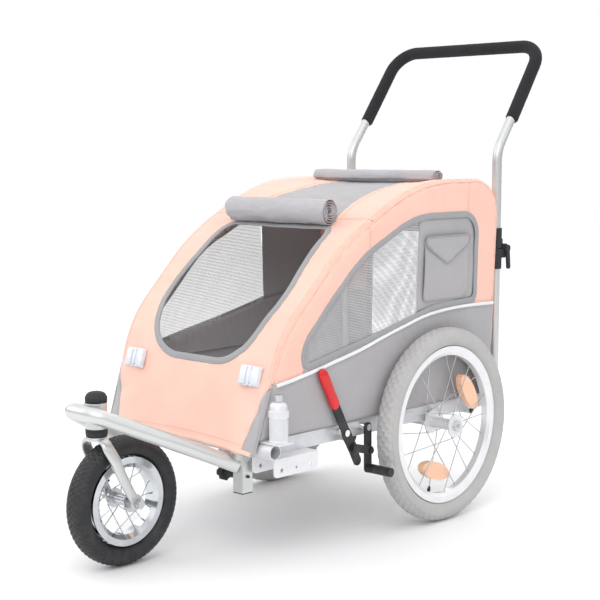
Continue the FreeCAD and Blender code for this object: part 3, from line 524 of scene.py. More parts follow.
BRIGHT = Metal("bright_steel", Slot.BRIGHT, display(208, 210, 212), display(182, 185, 188),
               metallic=0.95, roughness=0.22)
PALE_STEEL = Metal("pale_steel", Slot.BRIGHT, display(234, 234, 236), display(218, 219, 222),
                   metallic=0.35, roughness=0.32)
SILVER_RIM = Metal("silver_rim", Slot.RIM_SILVER, display(241, 241, 242), display(230, 231, 233),
                   metallic=0.3, roughness=0.24, streak=0.03, wear=0.0)
HITCH_PAINT = Moulded("white_powder_paint", Slot.HITCH, display(236, 236, 238),
                      display(222, 222, 225), roughness=0.42, dust=0.05, wear=0.2)
BLACK_STEEL = Moulded("black_powder_paint", Slot.BLACK_STEEL, display(15, 15, 17),
                      display(27, 27, 29), roughness=0.42, wear=0.3)
RED = Moulded("red_grip_rubber", Slot.RED_GRIP, display(206, 12, 18), display(222, 26, 30),
              roughness=0.3, coat=0.15, grain=600.0, wear=0.15, dust=0.0)
FOAM = Moulded("black_foam", Slot.FOAM, display(24, 23, 27), display(44, 43, 47), roughness=0.92,
               grain=1300.0, relief=0.0004, wear=0.1, dust=0.0)
RUBBER = Moulded("black_tyre", Slot.TYRE_BLACK, display(22, 23, 26), display(34, 35, 38),
                 roughness=0.5, grain=700.0, wear=0.25, dust=0.05)
GREY_RUBBER = Moulded("grey_tyre", Slot.TYRE_GREY, display(176, 175, 174), display(190, 189, 187),
                      roughness=0.8, grain=700.0, wear=0.25, dust=0.05)
BLACK = Moulded("black_plastic", Slot.BLACK_PLASTIC, display(17, 17, 19), display(32, 32, 35),
                roughness=0.42)
CLIP = Moulded("buckle_plastic", Slot.CLIP, display(214, 219, 226), display(232, 236, 242),
               roughness=0.25, coat=0.4, dust=0.0)
AMBER = Prismatic("amber_reflector", Slot.AMBER, display(252, 214, 184), display(244, 186, 146))


# ------------------------------------------------------------------ mesh helpers
def array(*values: Iterable[float]) -> np.ndarray:
    """Points as an array of floats."""
    return np.array(values, float)


def rounded(corners: np.ndarray, radii: Sequence[float], step: float,
            closed: bool = False) -> np.ndarray:
    """A line through corners with its corners rounded by tangent arcs.

    Args:
        corners: The corner points, in two or three dimensions.
        radii: A radius for each inner corner, or for every corner of a closed line.
        step: Longest distance between neighbouring points.
        closed: Whether the line returns to its start.

    Returns:
        The points, evenly spaced.
    """
    if closed:
        start = (corners[-1] + corners[0]) / 2.0
        corners = np.vstack([start, corners, start])
    points = [corners[0]]
    for before, corner, after, radius in zip(corners, corners[1:], corners[2:], radii):
        into = (corner - before) / np.linalg.norm(corner - before)
        out = (after - corner) / np.linalg.norm(after - corner)
        turn = math.acos(float(np.clip(into @ out, -1.0, 1.0)))
        reach = radius * math.tan(turn / 2.0)
        bisector = (out - into) / np.linalg.norm(out - into)
        centre = corner + bisector * radius / math.cos(turn / 2.0)
        first, last = corner - into * reach - centre, corner + out * reach - centre
        count = max(3, int(radius * turn / step) + 2)
        for share in np.linspace(0.0, 1.0, count):
            arc = math.sin((1.0 - share) * turn) * first + math.sin(share * turn) * last
            points.append(centre + arc / math.sin(turn))
    points.append(corners[-1])
    line = spaced(np.array(points), step)
    return line[:-1] if closed else line


def lengths(points: np.ndarray) -> np.ndarray:
    """Distance along a line at each of its points."""
    return np.concatenate([[0.0], np.cumsum(np.linalg.norm(np.diff(points, axis=0), axis=1))])


def spaced(points: np.ndarray, step: float) -> np.ndarray:
    """The same line with evenly spaced points.

    Args:
        points: The line's points.
        step: Wanted spacing.

    Returns:
        Points a step or a little less apart, both ends kept.
    """
    at = lengths(points)
    count = max(2, int(math.ceil(at[-1] / step)) + 1)
    wanted = np.linspace(0.0, at[-1], count)
    return np.stack([np.interp(wanted, at, points[:, k]) for k in range(points.shape[1])], axis=1)


def smooth_line(points: np.ndarray, step: float) -> np.ndarray:
    """A Catmull-Rom curve through the points, evenly spaced.

    Args:
        points: Points that the curve passes through.
        step: Wanted spacing.

    Returns:
        The curve's points.
    """
    ends = np.vstack([2 * points[0] - points[1], points, 2 * points[-1] - points[-2]])
    made = []
    for a, b, c, d in zip(ends, ends[1:], ends[2:], ends[3:]):
        for t in np.linspace(0.0, 1.0, 24, endpoint=False):
            made.append(0.5 * (2 * b + (c - a) * t + (2 * a - 5 * b + 4 * c - d) * t * t
                               + (3 * b - a - 3 * c + d) * t ** 3))
    made.append(points[-1])
    return spaced(np.array(made), step)


def tangents(path: np.ndarray, closed: bool) -> np.ndarray:
    """Unit direction at each point of a path."""
    if closed:
        run = np.roll(path, -1, axis=0) - np.roll(path, 1, axis=0)
    else:
        run = np.gradient(path, axis=0)
    return run / np.linalg.norm(run, axis=1, keepdims=True)


def oval(wide: float, high: float, sides: int = 20, power: float = 2.0) -> np.ndarray:
    """A superellipse section.

    Args:
        wide: Half size along the section's first axis.
        high: Half size along its second axis.
        sides: Number of points.
        power: 2 gives an ellipse, more gives a squarer section.

    Returns:
        The section's points.
    """
    turn = np.linspace(0.0, TAU, sides, endpoint=False)
    cos, sin = np.cos(turn), np.sin(turn)
    return np.stack([wide * np.sign(cos) * np.abs(cos) ** (2.0 / power),
                     high * np.sign(sin) * np.abs(sin) ** (2.0 / power)], axis=1)


class Shape:
    """Vertices and faces being gathered for one mesh."""

    def __init__(self) -> None:
        """Starts empty."""
        self.points: list[np.ndarray] = []
        self.faces: list[tuple[int, ...]] = []
        self.count = 0

    def add(self, points: np.ndarray, faces: Iterable[Sequence[int]]) -> "Shape":
        """Adds points and the faces between them.

        Args:
            points: New points.
            faces: Faces by index into the new points.

        Returns:
            This shape.
        """
        self.points.append(np.asarray(points, float))
        self.faces += [tuple(index + self.count for index in face) for face in faces]
        self.count += len(points)
        return self

    def sweep(self, path: np.ndarray, section: Section, up: np.ndarray, closed: bool = False,
              fixed: bool = True) -> "Shape":
        """Adds a skin of changing section along a path.

        Args:
            path: Points of the centre line.
            section: Gives the section's points for a share of the length.
            up: Direction of the section's second axis, one vector or one for each point.
            closed: Whether the path is a loop.
            fixed: Whether up stays as it is, or is carried along the bends.

        Returns:
            This shape.
        """
        along = tangents(path, closed)
        ups = np.broadcast_to(up, path.shape).copy()
        rings = []
        carried = ups[0]
        for index, (point, way) in enumerate(zip(path, along)):
            carried = ups[index] if fixed else carried
            carried = carried - (carried @ way) * way
            carried = carried / np.linalg.norm(carried)
            across = np.cross(way, carried)
            flat = section(index / max(1, len(path) - 1))
            rings.append(point + flat[:, :1] * across + flat[:, 1:] * carried)
        sides, count = len(rings[0]), len(rings)
        faces = []
        for ring in range(count if closed else count - 1):
            low, high = ring * sides, (ring + 1) % count * sides
            for k in range(sides):
                after = (k + 1) % sides
                faces.append((low + k, low + after, high + after, high + k))
        if not closed:
            faces.append(tuple(range(sides))[::-1])
            faces.append(tuple((count - 1) * sides + k for k in range(sides)))
        return self.add(np.vstack(rings), faces)

    def turned(self, profile: np.ndarray, centre: np.ndarray, axis: int, steps: int = 48,
               relief: Callable[[np.ndarray, np.ndarray], np.ndarray] | None = None) -> "Shape":
        """Adds a closed profile turned about an axis.

        Args:
            profile: Points of (place along the axis, radius), as a closed loop.
            centre: A point on the axis.
            axis: 0, 1 or 2.
            steps: Steps round the turn.
            relief: Extra radius for each turn and profile place, or None.

        Returns:
            This shape.
        """
        turn = np.linspace(0.0, TAU, steps, endpoint=False)
        others = [k for k in range(3) if k != axis]
        radius = np.broadcast_to(profile[:, 1], (steps, len(profile))).copy()
        if relief is not None:
            radius += relief(turn[:, None], np.arange(len(profile))[None, :])
        points = np.zeros((steps, len(profile), 3))
        points[:, :, axis] = profile[:, 0]
        points[:, :, others[0]] = radius * np.cos(turn)[:, None]
        points[:, :, others[1]] = radius * np.sin(turn)[:, None]
        size = len(profile)
        faces = []
        for ring in range(steps):
            low, high = ring * size, (ring + 1) % steps * size
            for k in range(size):
                after = (k + 1) % size
                if profile[k, 1] < 1e-7 and profile[after, 1] < 1e-7:
                    continue
                faces.append((low + k, high + k, high + after, low + after))
        return self.add(points.reshape(-1, 3) + centre, faces)

    def block(self, low: Sequence[float], high: Sequence[float]) -> "Shape":
        """Adds a plain block, to be bevelled with the rest of its piece."""
        corners = [(x, y, z) for z in (low[2], high[2]) for y in (low[1], high[1])
                   for x in (low[0], high[0])]
        faces = [(0, 2, 3, 1), (4, 5, 7, 6), (0, 1, 5, 4), (2, 6, 7, 3), (0, 4, 6, 2), (1, 3, 7, 5)]
        return self.add(np.array(corners), faces)


class Bench:
    """Where pieces are finished: mesh made, dressed, named and set riding."""

    def __init__(self) -> None:
        """Starts with no pieces."""
        self.made: list[str] = []

    def piece(self, name: str, shape: Shape, finish: Finish, body: str,
              replaces: Sequence[str] = (), bevel: float = 0.0, smooth_angle: float = 40.0,
              thickness: float = 0.0) -> bpy.types.Object:
        """Makes a visible piece.

        Args:
            name: The piece's name.
            shape: Its points and faces.
            finish: Its finish.
            body: The body that it rides on.
            replaces: CAD nodes that it stands for.
            bevel: Width of rounded edges, or 0.
            smooth_angle: Edges turning more than this stay sharp, in degrees.
            thickness: Thickness that a thin sheet gets inwards, or 0.

        Returns:
            The new object.
        """
        data = bpy.data.meshes.new(name)
        data.from_pydata(np.vstack(shape.points).tolist(), [], shape.faces)
        work = bmesh.new()
        work.from_mesh(data)
        bmesh.ops.remove_doubles(work, verts=work.verts, dist=1e-6)
        if thickness == 0.0:
            bmesh.ops.recalc_face_normals(work, faces=work.faces)
        if bevel:
            limit = math.radians(30.0)
            edges = [e for e in work.edges if len(e.link_faces) == 2
                     and e.calc_face_angle(0.0) > limit]
            bmesh.ops.bevel(work, geom=edges, offset=bevel, segments=2, profile=0.5,
                            affect="EDGES", clamp_overlap=True)
        work.to_mesh(data)
        work.free()
        made = bpy.data.objects.new(name, data)
        bpy.context.scene.collection.objects.link(made)
        data.shade_smooth()
        data.set_sharp_from_angle(angle=math.radians(smooth_angle))
        if thickness:
            skin = made.modifiers.new("thickness", "SOLIDIFY")
            skin.thickness = thickness
            skin.offset = -1.0
            skin.use_even_offset = False
        return self.dress(made, finish, body, replaces)

    def dress(self, made: bpy.types.Object, finish: Finish, body: str,
              replaces: Sequence[str] = ()) -> bpy.types.Object:
        """Gives an object its finish, its body and the CAD nodes it stands for.

        Args:
            made: The object.
            finish: Its finish.
            body: The body that it rides on.
            replaces: CAD nodes that it stands for.

        Returns:
            The same object.
        """
        made.data.materials.clear()
        made.data.materials.append(finish.material())
        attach(made, body)
        if replaces:
            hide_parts(*replaces)
        self.made.append(made.name)
        return made

    def keep(self, node: str, finish: Finish, rounding: float = 0.0006) -> None:
        """Dresses a CAD node that stays as it is, with softened edges.

        Args:
            node: The node's name.
            finish: Its finish.
            rounding: Width of the softened edges, or 0.
        """
        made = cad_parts[node]
        made.data.materials.clear()
        made.data.materials.append(finish.material())
        made.data.shade_smooth()
        made.data.set_sharp_from_angle(angle=math.radians(32.0))
        if rounding:
            edge = made.modifiers.new("rounding", "BEVEL")
            edge.width = rounding
            edge.segments = 2
            edge.limit_method = "ANGLE"
            edge.angle_limit = math.radians(42.0)
            edge.harden_normals = True
        self.made.append(node)


BENCH = Bench()


def centre_of(node: str) -> np.ndarray:
    """Middle of a CAD node's box."""
    low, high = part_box(node)
    return np.array((low + high) / 2.0)


def points_of(node: str) -> np.ndarray:
    """Vertices of a CAD node."""
    return np.array([tuple(v.co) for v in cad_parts[node].data.vertices])


# ------------------------------------------------------------------ flat cutting
def closed_loop(points: np.ndarray, step: float) -> np.ndarray:
    """A closed outline through the points, evenly spaced."""
    return spaced(np.vstack([points, points[:1]]), step)[:-1]


def inside(points: np.ndarray, loop: np.ndarray) -> np.ndarray:
    """Which flat points lie inside a loop.

    Args:
        points: Flat points.
        loop: The closed outline.

    Returns:
        One boolean for each point.
    """
    x, y = points[:, 0][:, None], points[:, 1][:, None]
    ax, ay = loop[:, 0][None, :], loop[:, 1][None, :]
    bx, by = np.roll(loop[:, 0], -1)[None, :], np.roll(loop[:, 1], -1)[None, :]
    crosses = (ay > y) != (by > y)
    with np.errstate(divide="ignore", invalid="ignore"):
        at = ax + (y - ay) * (bx - ax) / (by - ay)
    return (np.sum(crosses & (x < at), axis=1) % 2).astype(bool)


def nearest(points: np.ndarray, line: np.ndarray) -> tuple[np.ndarray, np.ndarray]:
    """Distance of each point from a line, and how far along the line that is.

    Args:
        points: Points to measure.
        line: The line's points.

    Returns:
        The distances and the places along the line.
    """
    start, run = line[:-1], np.diff(line, axis=0)
    size = np.sum(run * run, axis=1)
    gap = points[:, None, :] - start[None, :, :]
    share = np.clip(np.sum(gap * run, axis=2) / np.maximum(size, 1e-12), 0.0, 1.0)
    off = np.linalg.norm(gap - share[:, :, None] * run, axis=2)
    best = np.argmin(off, axis=1)
    rows = np.arange(len(points))
    at = lengths(line)[:-1][best] + share[rows, best] * np.sqrt(size[best])
    return off[rows, best], at


def cut_cloth(outer: np.ndarray, holes: Sequence[np.ndarray], size: float,
              seams: Sequence[np.ndarray] = ()) -> tuple[np.ndarray, list[tuple[int, ...]]]:
    """Cuts a flat sheet with holes into small even triangles.

    Args:
        outer: The sheet's outline.
        holes: Outlines of its holes.
        size: Wanted edge length.
        seams: Lines that edges must follow.

    Returns:
        Flat points and triangles.
    """
    loops = [outer, *holes]
    verts, edges = [], []
    for loop in loops:
        base = len(verts)
        verts += [tuple(point) for point in loop]
        edges += [(base + k, base + (k + 1) % len(loop)) for k in range(len(loop))]
    for seam in seams:
        base = len(verts)
        verts += [tuple(point) for point in seam]
        edges += [(base + k, base + k + 1) for k in range(len(seam) - 1)]
    low, high = outer.min(axis=0), outer.max(axis=0)
    rows = np.arange(low[1], high[1], size * 0.87)
    grid = np.array([(x + (k % 2) * size / 2.0, y) for k, y in enumerate(rows)
                     for x in np.arange(low[0], high[0], size)])
    keep = inside(grid, outer)
    for hole in holes:
        keep &= ~inside(grid, hole)
    grid = grid[keep]
    for line in [*[np.vstack([loop, loop[:1]]) for loop in loops], *seams]:
        grid = grid[nearest(grid, line)[0] > size * 0.55]
    verts += [tuple(point) for point in grid]
    made = delaunay_2d_cdt([Vector(point) for point in verts], edges, [], 0, 1e-7)
    flat = np.array([tuple(point) for point in made[0]])
    faces = np.array([tuple(face) for face in made[2]])
    middle = flat[faces].mean(axis=1)
    keep = inside(middle, outer)
    for hole in holes:
        keep &= ~inside(middle, hole)
    return flat, [tuple(int(k) for k in face) for face in faces[keep]]


def flat_area(flat: np.ndarray, faces: Sequence[tuple[int, ...]]) -> float:
    """Area of a cut sheet, laid flat."""
    corners = flat[np.array(faces)]
    first, second = corners[:, 1] - corners[:, 0], corners[:, 2] - corners[:, 0]
    return float(np.abs(first[:, 0] * second[:, 1] - first[:, 1] * second[:, 0]).sum()) / 2.0


def part_of(flat: np.ndarray, faces: Sequence[tuple[int, ...]],
            chosen: np.ndarray) -> tuple[np.ndarray, list[tuple[int, ...]]]:
    """Chosen triangles of a cut sheet as a sheet of their own.

    Args:
        flat: Points of the cut.
        faces: Its triangles.
        chosen: One boolean for each triangle.

    Returns:
        The part's own points and triangles.
    """
    used, again = np.unique(np.array(faces)[chosen], return_inverse=True)
    return flat[used], [tuple(int(k) for k in face) for face in again.reshape(-1, 3)]


def creases(points: np.ndarray, seed: float, depth: float, scale: float) -> np.ndarray:
    """Soft uneven relief of stretched cloth.

    Args:
        points: Points in space.
        seed: Shifts the pattern.
        depth: Height of the largest waves.
        scale: Waves to the metre.

    Returns:
        A height for each point.
    """
    shift = Vector((seed, seed * 1.7, -seed))
    return np.array([depth * noise.fractal(Vector(p) * scale + shift, 0.7, 2.1, 3)
                     for p in points])


@dataclass(frozen=True)
class Seam:
    """A sewn line that draws the cloth in and puckers it."""

    line: np.ndarray
    depth: float = 0.0012
    pucker: float = 0.0007
    pitch: float = 0.021
    reach: float = 0.022

    def relief(self, flat: np.ndarray, seed: float) -> np.ndarray:
        """Height that the seam gives to flat points.

        Args:
            flat: Points of the cut sheet.
            seed: Shifts the puckers.

        Returns:
            A height for each point.
        """
        away, along = nearest(flat, self.line)
        groove = -self.depth * np.exp(-(away / (self.reach * 0.3)) ** 2)
        beat = np.sin(TAU * along / self.pitch + seed + 1.3 * np.sin(along * 31.0 + seed))
        ripple = self.pucker * beat * np.exp(-(away / self.reach) ** 2)
        return groove + ripple * (1.0 - np.exp(-(away / (self.reach * 0.15)) ** 2))


@dataclass(frozen=True)
class Tape:
    """Binding, piping or a row of stitches laid along a line on the cloth."""

    half_width: float
    half_height: float
    lift: float = 0.0

    def lay(self, line: np.ndarray, up: np.ndarray, closed: bool, power: float = 2.6) -> Shape:
        """Sweeps the tape along a line.

        Args:
            line: The line in space.
            up: The cloth's outward direction at each point.
            closed: Whether the line is a loop.
            power: Squareness of the tape's section.

        Returns:
            The tape's shape.
        """
        section = oval(self.half_width, self.half_height, 12, power)
        return Shape().sweep(line + up * self.lift, lambda share: section, up, closed)


def stitches(line: np.ndarray, up: np.ndarray, lift: float, pitch: float = 0.0042,
             long: float = 0.0029, radius: float = 0.00042) -> Shape:
    """A row of thread stitches along a line.

    Args:
        line: The line in space.
        up: Outward direction at each point.
        lift: Height of the thread's middle above the line.
        pitch: Distance from stitch to stitch.
        long: Length of a stitch.
        radius: The thread's radius.

    Returns:
        The stitches as one shape.
    """
    at = lengths(line)
    starts = np.arange(pitch, at[-1] - pitch, pitch)
    made = Shape()

    def sample(values: np.ndarray, where: float) -> np.ndarray:
        """Value at a distance along the line."""
        return np.array([np.interp(where, at, values[:, k]) for k in range(3)])

    for start in starts:
        first, last = sample(line, start), sample(line, start + long)
        out = sample(up, start)
        out = out / np.linalg.norm(out)
        middle = (first + last) / 2.0 + out * (lift + radius)
        ends = [first + out * (lift - radius), middle, last + out * (lift - radius)]
        way = (last - first) / max(1e-9, float(np.linalg.norm(last - first)))
        across = np.cross(way, out) * radius
        points = []
        for spot in ends:
            points += [spot - across, spot + out * radius, spot + across]
        faces = []
        for ring in (0, 3):
            faces += [(ring + k, ring + k + 1, ring + k + 4, ring + k + 3) for k in (0, 1)]
        made.add(np.array(points), faces)
    return made


def net_threads(loop: np.ndarray, place: Callable[[np.ndarray], np.ndarray], pitch: float = 0.0031,
                width: float = 0.00092, run: float = 0.03) -> Shape:
    """Flat threads in two directions, trimmed to a window.

    Args:
        loop: The window's flat outline.
        place: Puts flat points into space.
        pitch: Distance from thread to thread.
        width: Width of a thread.
        run: Longest piece of thread between bends.

    Returns:
        The threads as one shape.
    """
    made = Shape()
    centre = loop.mean(axis=0)
    for turn in (0.0, math.radians(90.0)):
        way = np.array([math.cos(turn), math.sin(turn)])
        side = np.array([-way[1], way[0]])
        across = (loop - centre) @ side
        along = (loop - centre) @ way
        for offset in np.arange(across.min() + pitch / 2.0, across.max(), pitch):
            ahead, after = np.roll(across, -1), np.roll(along, -1)
            hit = (across > offset) != (ahead > offset)
            cuts = np.sort(along[hit] + (offset - across[hit]) * (after[hit] - along[hit])
                           / (ahead[hit] - across[hit]))
            for start, end in zip(cuts[::2], cuts[1::2]):
                if end - start < pitch:
                    continue
                count = max(2, int((end - start) / run) + 2)
                marks = np.linspace(start, end, count)
                rows = [centre + way * mark + side * (offset + half)
                        for mark in marks for half in (-width / 2.0, width / 2.0)]
                faces = [(2 * k, 2 * k + 2, 2 * k + 3, 2 * k + 1) for k in range(count - 1)]
                made.add(place(np.array(rows)), faces)
    return made


# ------------------------------------------------------------------ the cabin
@dataclass(frozen=True)
class Arch:
    """The cabin's outline in side view, from the front hem over the roof to the rear edge."""

    axle_y: float
    hem: tuple[float, float] = (-0.519, 0.211)
    nose: tuple[float, float] = (-0.448, 0.424)
    brow: tuple[float, float] = (-0.285, 0.584)
    roof: tuple[float, float] = (-0.066, 0.699)
    back_y: float = 0.212
    bottom_z: float = 0.239
    radii: tuple[float, ...] = (0.25, 0.45, 0.45, 0.08)
    face_x: float = 0.213
    lean: float = math.radians(2.0)
    corner_r: float = 0.017

    def line(self) -> np.ndarray:
        """The outline as (y, z) points, closely spaced."""
        corners = array(self.hem, self.nose, self.brow, self.roof, (self.back_y, self.roof[1]),
                        (self.back_y, self.bottom_z))
        corners[:, 0] += self.axle_y
        return rounded(corners, self.radii, 0.004)

    def half_width(self, z: np.ndarray) -> np.ndarray:
        """Half the cabin's width over its cloth at a height."""
        return self.face_x + (z - self.bottom_z) * math.tan(self.lean)


@dataclass(frozen=True)
class PocketForm:
    """A side's rear panel and its flap pocket; y from the axle, or from the panel's front edge."""

    net_end: float = -0.058
    panel_front: float = -0.062
    front: float = 0.018
    rear: float = 0.165
    bottom: float = 0.452
    top: float = 0.585
    tip: float = 0.548
    corner: float = 0.014
    swell: float = 0.0035
    flap_step: float = 0.006


class Cabin:
    """The fabric cabin: sides, front, roof, rear, windows, piping, rolls and buckles."""

    body = "chassis"

    def __init__(self, cloth: float = 0.0016, grid: float = 0.0075) -> None:
        """Works out the outline from the frame.

        Args:
            cloth: Thickness of the cloth.
            grid: Edge length of the cloth's mesh.
        """
        self.cloth = cloth
        self.grid = grid
        self.arch = Arch(axle_y=float(centre_of("rear_hub_left")[1]))
        self.bag = PocketForm()
        self.line = self.arch.line()
        self.along = lengths(self.line)
        way = tangents(self.line, False)
        self.outward = np.stack([-way[:, 1], way[:, 0]], axis=1)
        self.tuck = self.arch.corner_r * (1.0 - math.cos(math.pi / 4.0))

    # ---- places on the two kinds of sheet
    def at_y(self, y: float) -> float:
        """Distance along the outline at a place measured from the rear axle."""
        upper = self.line[:, 1] > self.arch.bottom_z
        return float(np.interp(y + self.arch.axle_y, self.line[upper, 0], self.along[upper]))

    def at_front_z(self, z: np.ndarray) -> np.ndarray:
        """Distance along the outline at a height on its front."""
        rising = self.along < self.at_y(0.0)
        return np.interp(z, self.line[rising, 1], self.along[rising])

    def side_place(self, flat: np.ndarray, height: np.ndarray | float, side: Side) -> np.ndarray:
        """Puts (y, z) points onto a side of the cabin, rounded over at the arch.

        Args:
            flat: Points in side view.
            height: Extra height above the cloth's face.
            side: Which side.

        Returns:
            The points in space.
        """
        away, _ = nearest(flat, self.line)
        radius = self.arch.corner_r
        over = np.clip(radius - away, 0.0, radius)
        drop = radius - np.sqrt(radius ** 2 - over ** 2)
        x = self.arch.half_width(flat[:, 1]) - drop + height
        return np.stack([side.value * x, flat[:, 0], flat[:, 1]], axis=1)

    def arch_place(self, flat: np.ndarray, height: np.ndarray | float) -> np.ndarray:
        """Puts (x, distance along the outline) points onto the arch sheet.

        Args:
            flat: Points across and along the sheet.
            height: Extra height above the cloth's face.

        Returns:
            The points in space.
        """
        at = np.clip(flat[:, 1], 0.0, self.along[-1])
        point = np.stack([np.interp(at, self.along, self.line[:, k]) for k in (0, 1)], axis=1)
        out = self.arch_up(at)[:, 1:]
        radius = self.arch.corner_r
        straight = self.arch.half_width(point[:, 1]) - radius
        over = np.clip(np.abs(flat[:, 0]) - straight, 0.0, radius)
        drop = radius - np.sqrt(radius ** 2 - over ** 2)
        moved = point + out * (height - drop)[:, None]
        return np.stack([flat[:, 0], moved[:, 0], moved[:, 1]], axis=1)

    def edge_x(self, at: np.ndarray) -> np.ndarray:
        """Half width of the arch sheet at places along the outline, at its seam with the side."""
        return self.arch.half_width(np.interp(at, self.along, self.line[:, 1])) - self.tuck

    # ---- outlines
    def side_window(self) -> np.ndarray:
        """The side window's outline in side view."""
        corners = array((-0.397, 0.3575), (-0.393, 0.404), (-0.243, 0.552), (-0.075, 0.627),
                        (0.129, 0.627), (0.134, 0.4455), (-0.005, 0.4405), (-0.205, 0.3955))
        corners[:, 0] += self.arch.axle_y
        return rounded(corners, (0.016, 0.06, 0.3, 0.25, 0.042, 0.016, 0.3, 0.4), self.grid, True)

    def front_window(self) -> np.ndarray:
        """The front window's outline on the arch sheet."""
        corners = array((-0.146, 0.612), (-0.160, 0.480), (-0.120, 0.365), (0.120, 0.365),
                        (0.160, 0.480), (0.146, 0.612))
        loop = rounded(corners, (0.025, 0.15, 0.095, 0.095, 0.15, 0.025), self.grid, True)
        return np.stack([loop[:, 0], self.at_front_z(loop[:, 1])], axis=1)

    def piping_line(self) -> np.ndarray:
        """The reflective piping on a side, from the front corner to the rear one."""
        marks = array((-0.463, 0.335), (-0.398, 0.345), (-0.316, 0.360), (-0.240, 0.375),
                      (-0.169, 0.394), (-0.100, 0.411), (-0.040, 0.424), (0.024, 0.431),
                      (0.110, 0.434), (0.206, 0.432))
        marks[:, 0] += self.arch.axle_y
        return smooth_line(marks, self.grid)

    def side_edge(self) -> np.ndarray:
        """Outer edge of a side sheet, tucked under the corner's rounding."""
        return self.line - self.outward * self.tuck

    # ---- building
    def sheet(self, name: str, flat: np.ndarray, faces: list[tuple[int, ...]], space: np.ndarray,
              finish: Finish, replaces: Sequence[str] = (),
              flip: bool = False) -> bpy.types.Object:
        """Makes one sheet of cloth and logs the size and area of its flat cut.

        Args:
            name: The piece's name.
            flat: Points of the cut.
            faces: Its triangles.
            space: The same points in space.
            finish: The cloth.
            replaces: CAD nodes that it stands for.
            flip: Whether the triangles face the other way.

        Returns:
            The new object.
        """
        turned = [face[::-1] for face in faces] if flip else faces
        made = BENCH.piece(name, Shape().add(space, turned), finish, self.body, replaces,
                           smooth_angle=70.0, thickness=self.cloth)
        size = np.ptp(flat @ np.linalg.eigh(np.cov(flat.T))[1], axis=0)
        LOG.info("sheet %s: %.3f x %.3f m, %.4f m2", name, *size, flat_area(flat, faces))
        flat_area(flat, faces)
        return made

    def build_side(self, side: Side) -> None:
        """Builds one side: peach band, grey tub, pocket panel, net, bindings and piping."""
        edge, window, piping = self.side_edge(), self.side_window(), self.piping_line()
        ring = np.vstack([window, window[:1]])
        seams = [Seam(piping, pucker=0.0005), Seam(ring, depth=0.0004, pucker=0.0003),
                 Seam(self.line, depth=0.0, pucker=0.0009, pitch=0.034, reach=0.03)]
        seed = 3.0 if side is Side.LEFT else 8.0

        def relief(flat: np.ndarray) -> np.ndarray:
            """Billow, creases and seam puckers of a side sheet."""
            space = np.stack([np.zeros(len(flat)), flat[:, 0], flat[:, 1]], axis=1)
            total = creases(space, seed, 0.0016, 7.0) + creases(space, seed + 5.0, 0.0006, 26.0)
            for seam in seams:
                total += seam.relief(flat, seed)
            low = np.clip((0.42 - flat[:, 1]) / 0.2, 0.0, 1.0)
            slack = np.sin(flat[:, 0] * 23.0 + flat[:, 1] * 9.0 + seed) * 0.0012 * low
            return total + slack - 0.0002

        foot = edge[edge[:, 1] > self.arch.bottom_z]
        outline = np.vstack([foot, array((edge[-1, 0], self.arch.bottom_z)),
                             array(self.bottom_front()), foot[:1]])
        outline = spaced(outline, self.grid)[:-1]
        cuts = (self.arch.axle_y - 0.215, self.arch.axle_y + 0.100)
        top = self.arch.roof[1] + 0.02
        lines = [spaced(array((y, window[:, 1].max()), (y, top)), self.grid) for y in cuts]
        lines.append(piping[inside(piping, outline)])
        flat, faces = cut_cloth(outline, [window], self.grid, lines)
        middle = flat[np.array(faces)].mean(axis=1)
        seam = np.interp(middle[:, 0], piping[:, 0], piping[:, 1])
        sill = (middle[:, 0] > window[:, 0].min()) & (middle[:, 0] < window[:, 0].max())
        under = np.interp(middle[:, 0], *self.lower_edge(window)) + 0.004
        low = middle[:, 1] < np.where(sill, np.maximum(seam, under), seam)
        parts = (("tub", low, GREY), ("pillar", ~low & (middle[:, 0] < cuts[0]), PEACH),
                 ("band", ~low & (middle[:, 0] > cuts[0]) & (middle[:, 0] < cuts[1]), PEACH),
                 ("back", ~low & (middle[:, 0] > cuts[1]), PEACH))
        for label, chosen, finish in parts:
            cut, triangles = part_of(flat, faces, chosen)
            self.sheet(f"side_{label}_{side.word}", cut, triangles,
                       self.side_place(cut, relief(cut), side), finish,
                       (), side is Side.RIGHT)
        self.dress_window(side, window, relief)
        self.lay_piping(side, piping, relief)

    def bottom_front(self) -> np.ndarray:
        """Where the side's lower edge meets the front of the outline."""
        low = self.line[: len(self.line) // 3]
        y = float(np.interp(self.arch.bottom_z, low[:, 1], low[:, 0]))
        return np.array([y + self.tuck, self.arch.bottom_z])

    def side_up(self, count: int, side: Side) -> np.ndarray:
        """Outward direction of a side sheet, repeated for each point."""
        out = array((side.value * math.cos(self.arch.lean), 0.0, -math.sin(self.arch.lean)))
        return np.repeat(out, count, axis=0)

    def dress_window(self, side: Side, window: np.ndarray,
                     relief: Callable[[np.ndarray], np.ndarray]) -> None:
        """Adds a side window's net, binding, stitches, rear panel and pocket.

        Args:
            side: Which side.
            window: The window's outline.
            relief: The side sheet's relief.
        """
        word = side.word
        space = self.side_place(window, relief(window), side)
        ups = self.side_up(len(space), side)
        tape = Tape(0.0062, 0.0022, lift=0.0006).lay(space, ups, True)
        BENCH.piece(f"side_window_binding_{word}", tape, BINDING, self.body)
        inner = window + (window.mean(axis=0) - window) * 0.02
        row = self.side_place(inner, relief(inner), side)
        BENCH.piece(f"side_window_stitches_{word}", stitches(row, ups, 0.0019), GREY_THREAD,
                    self.body)

        def net_place(flat: np.ndarray) -> np.ndarray:
            """Puts the net a little inside the cloth."""
            out = np.stack([np.zeros(len(flat)), flat[:, 0], flat[:, 1]], axis=1)
            return self.side_place(flat, creases(out, 2.0, 0.001, 9.0) - 0.0022, side)

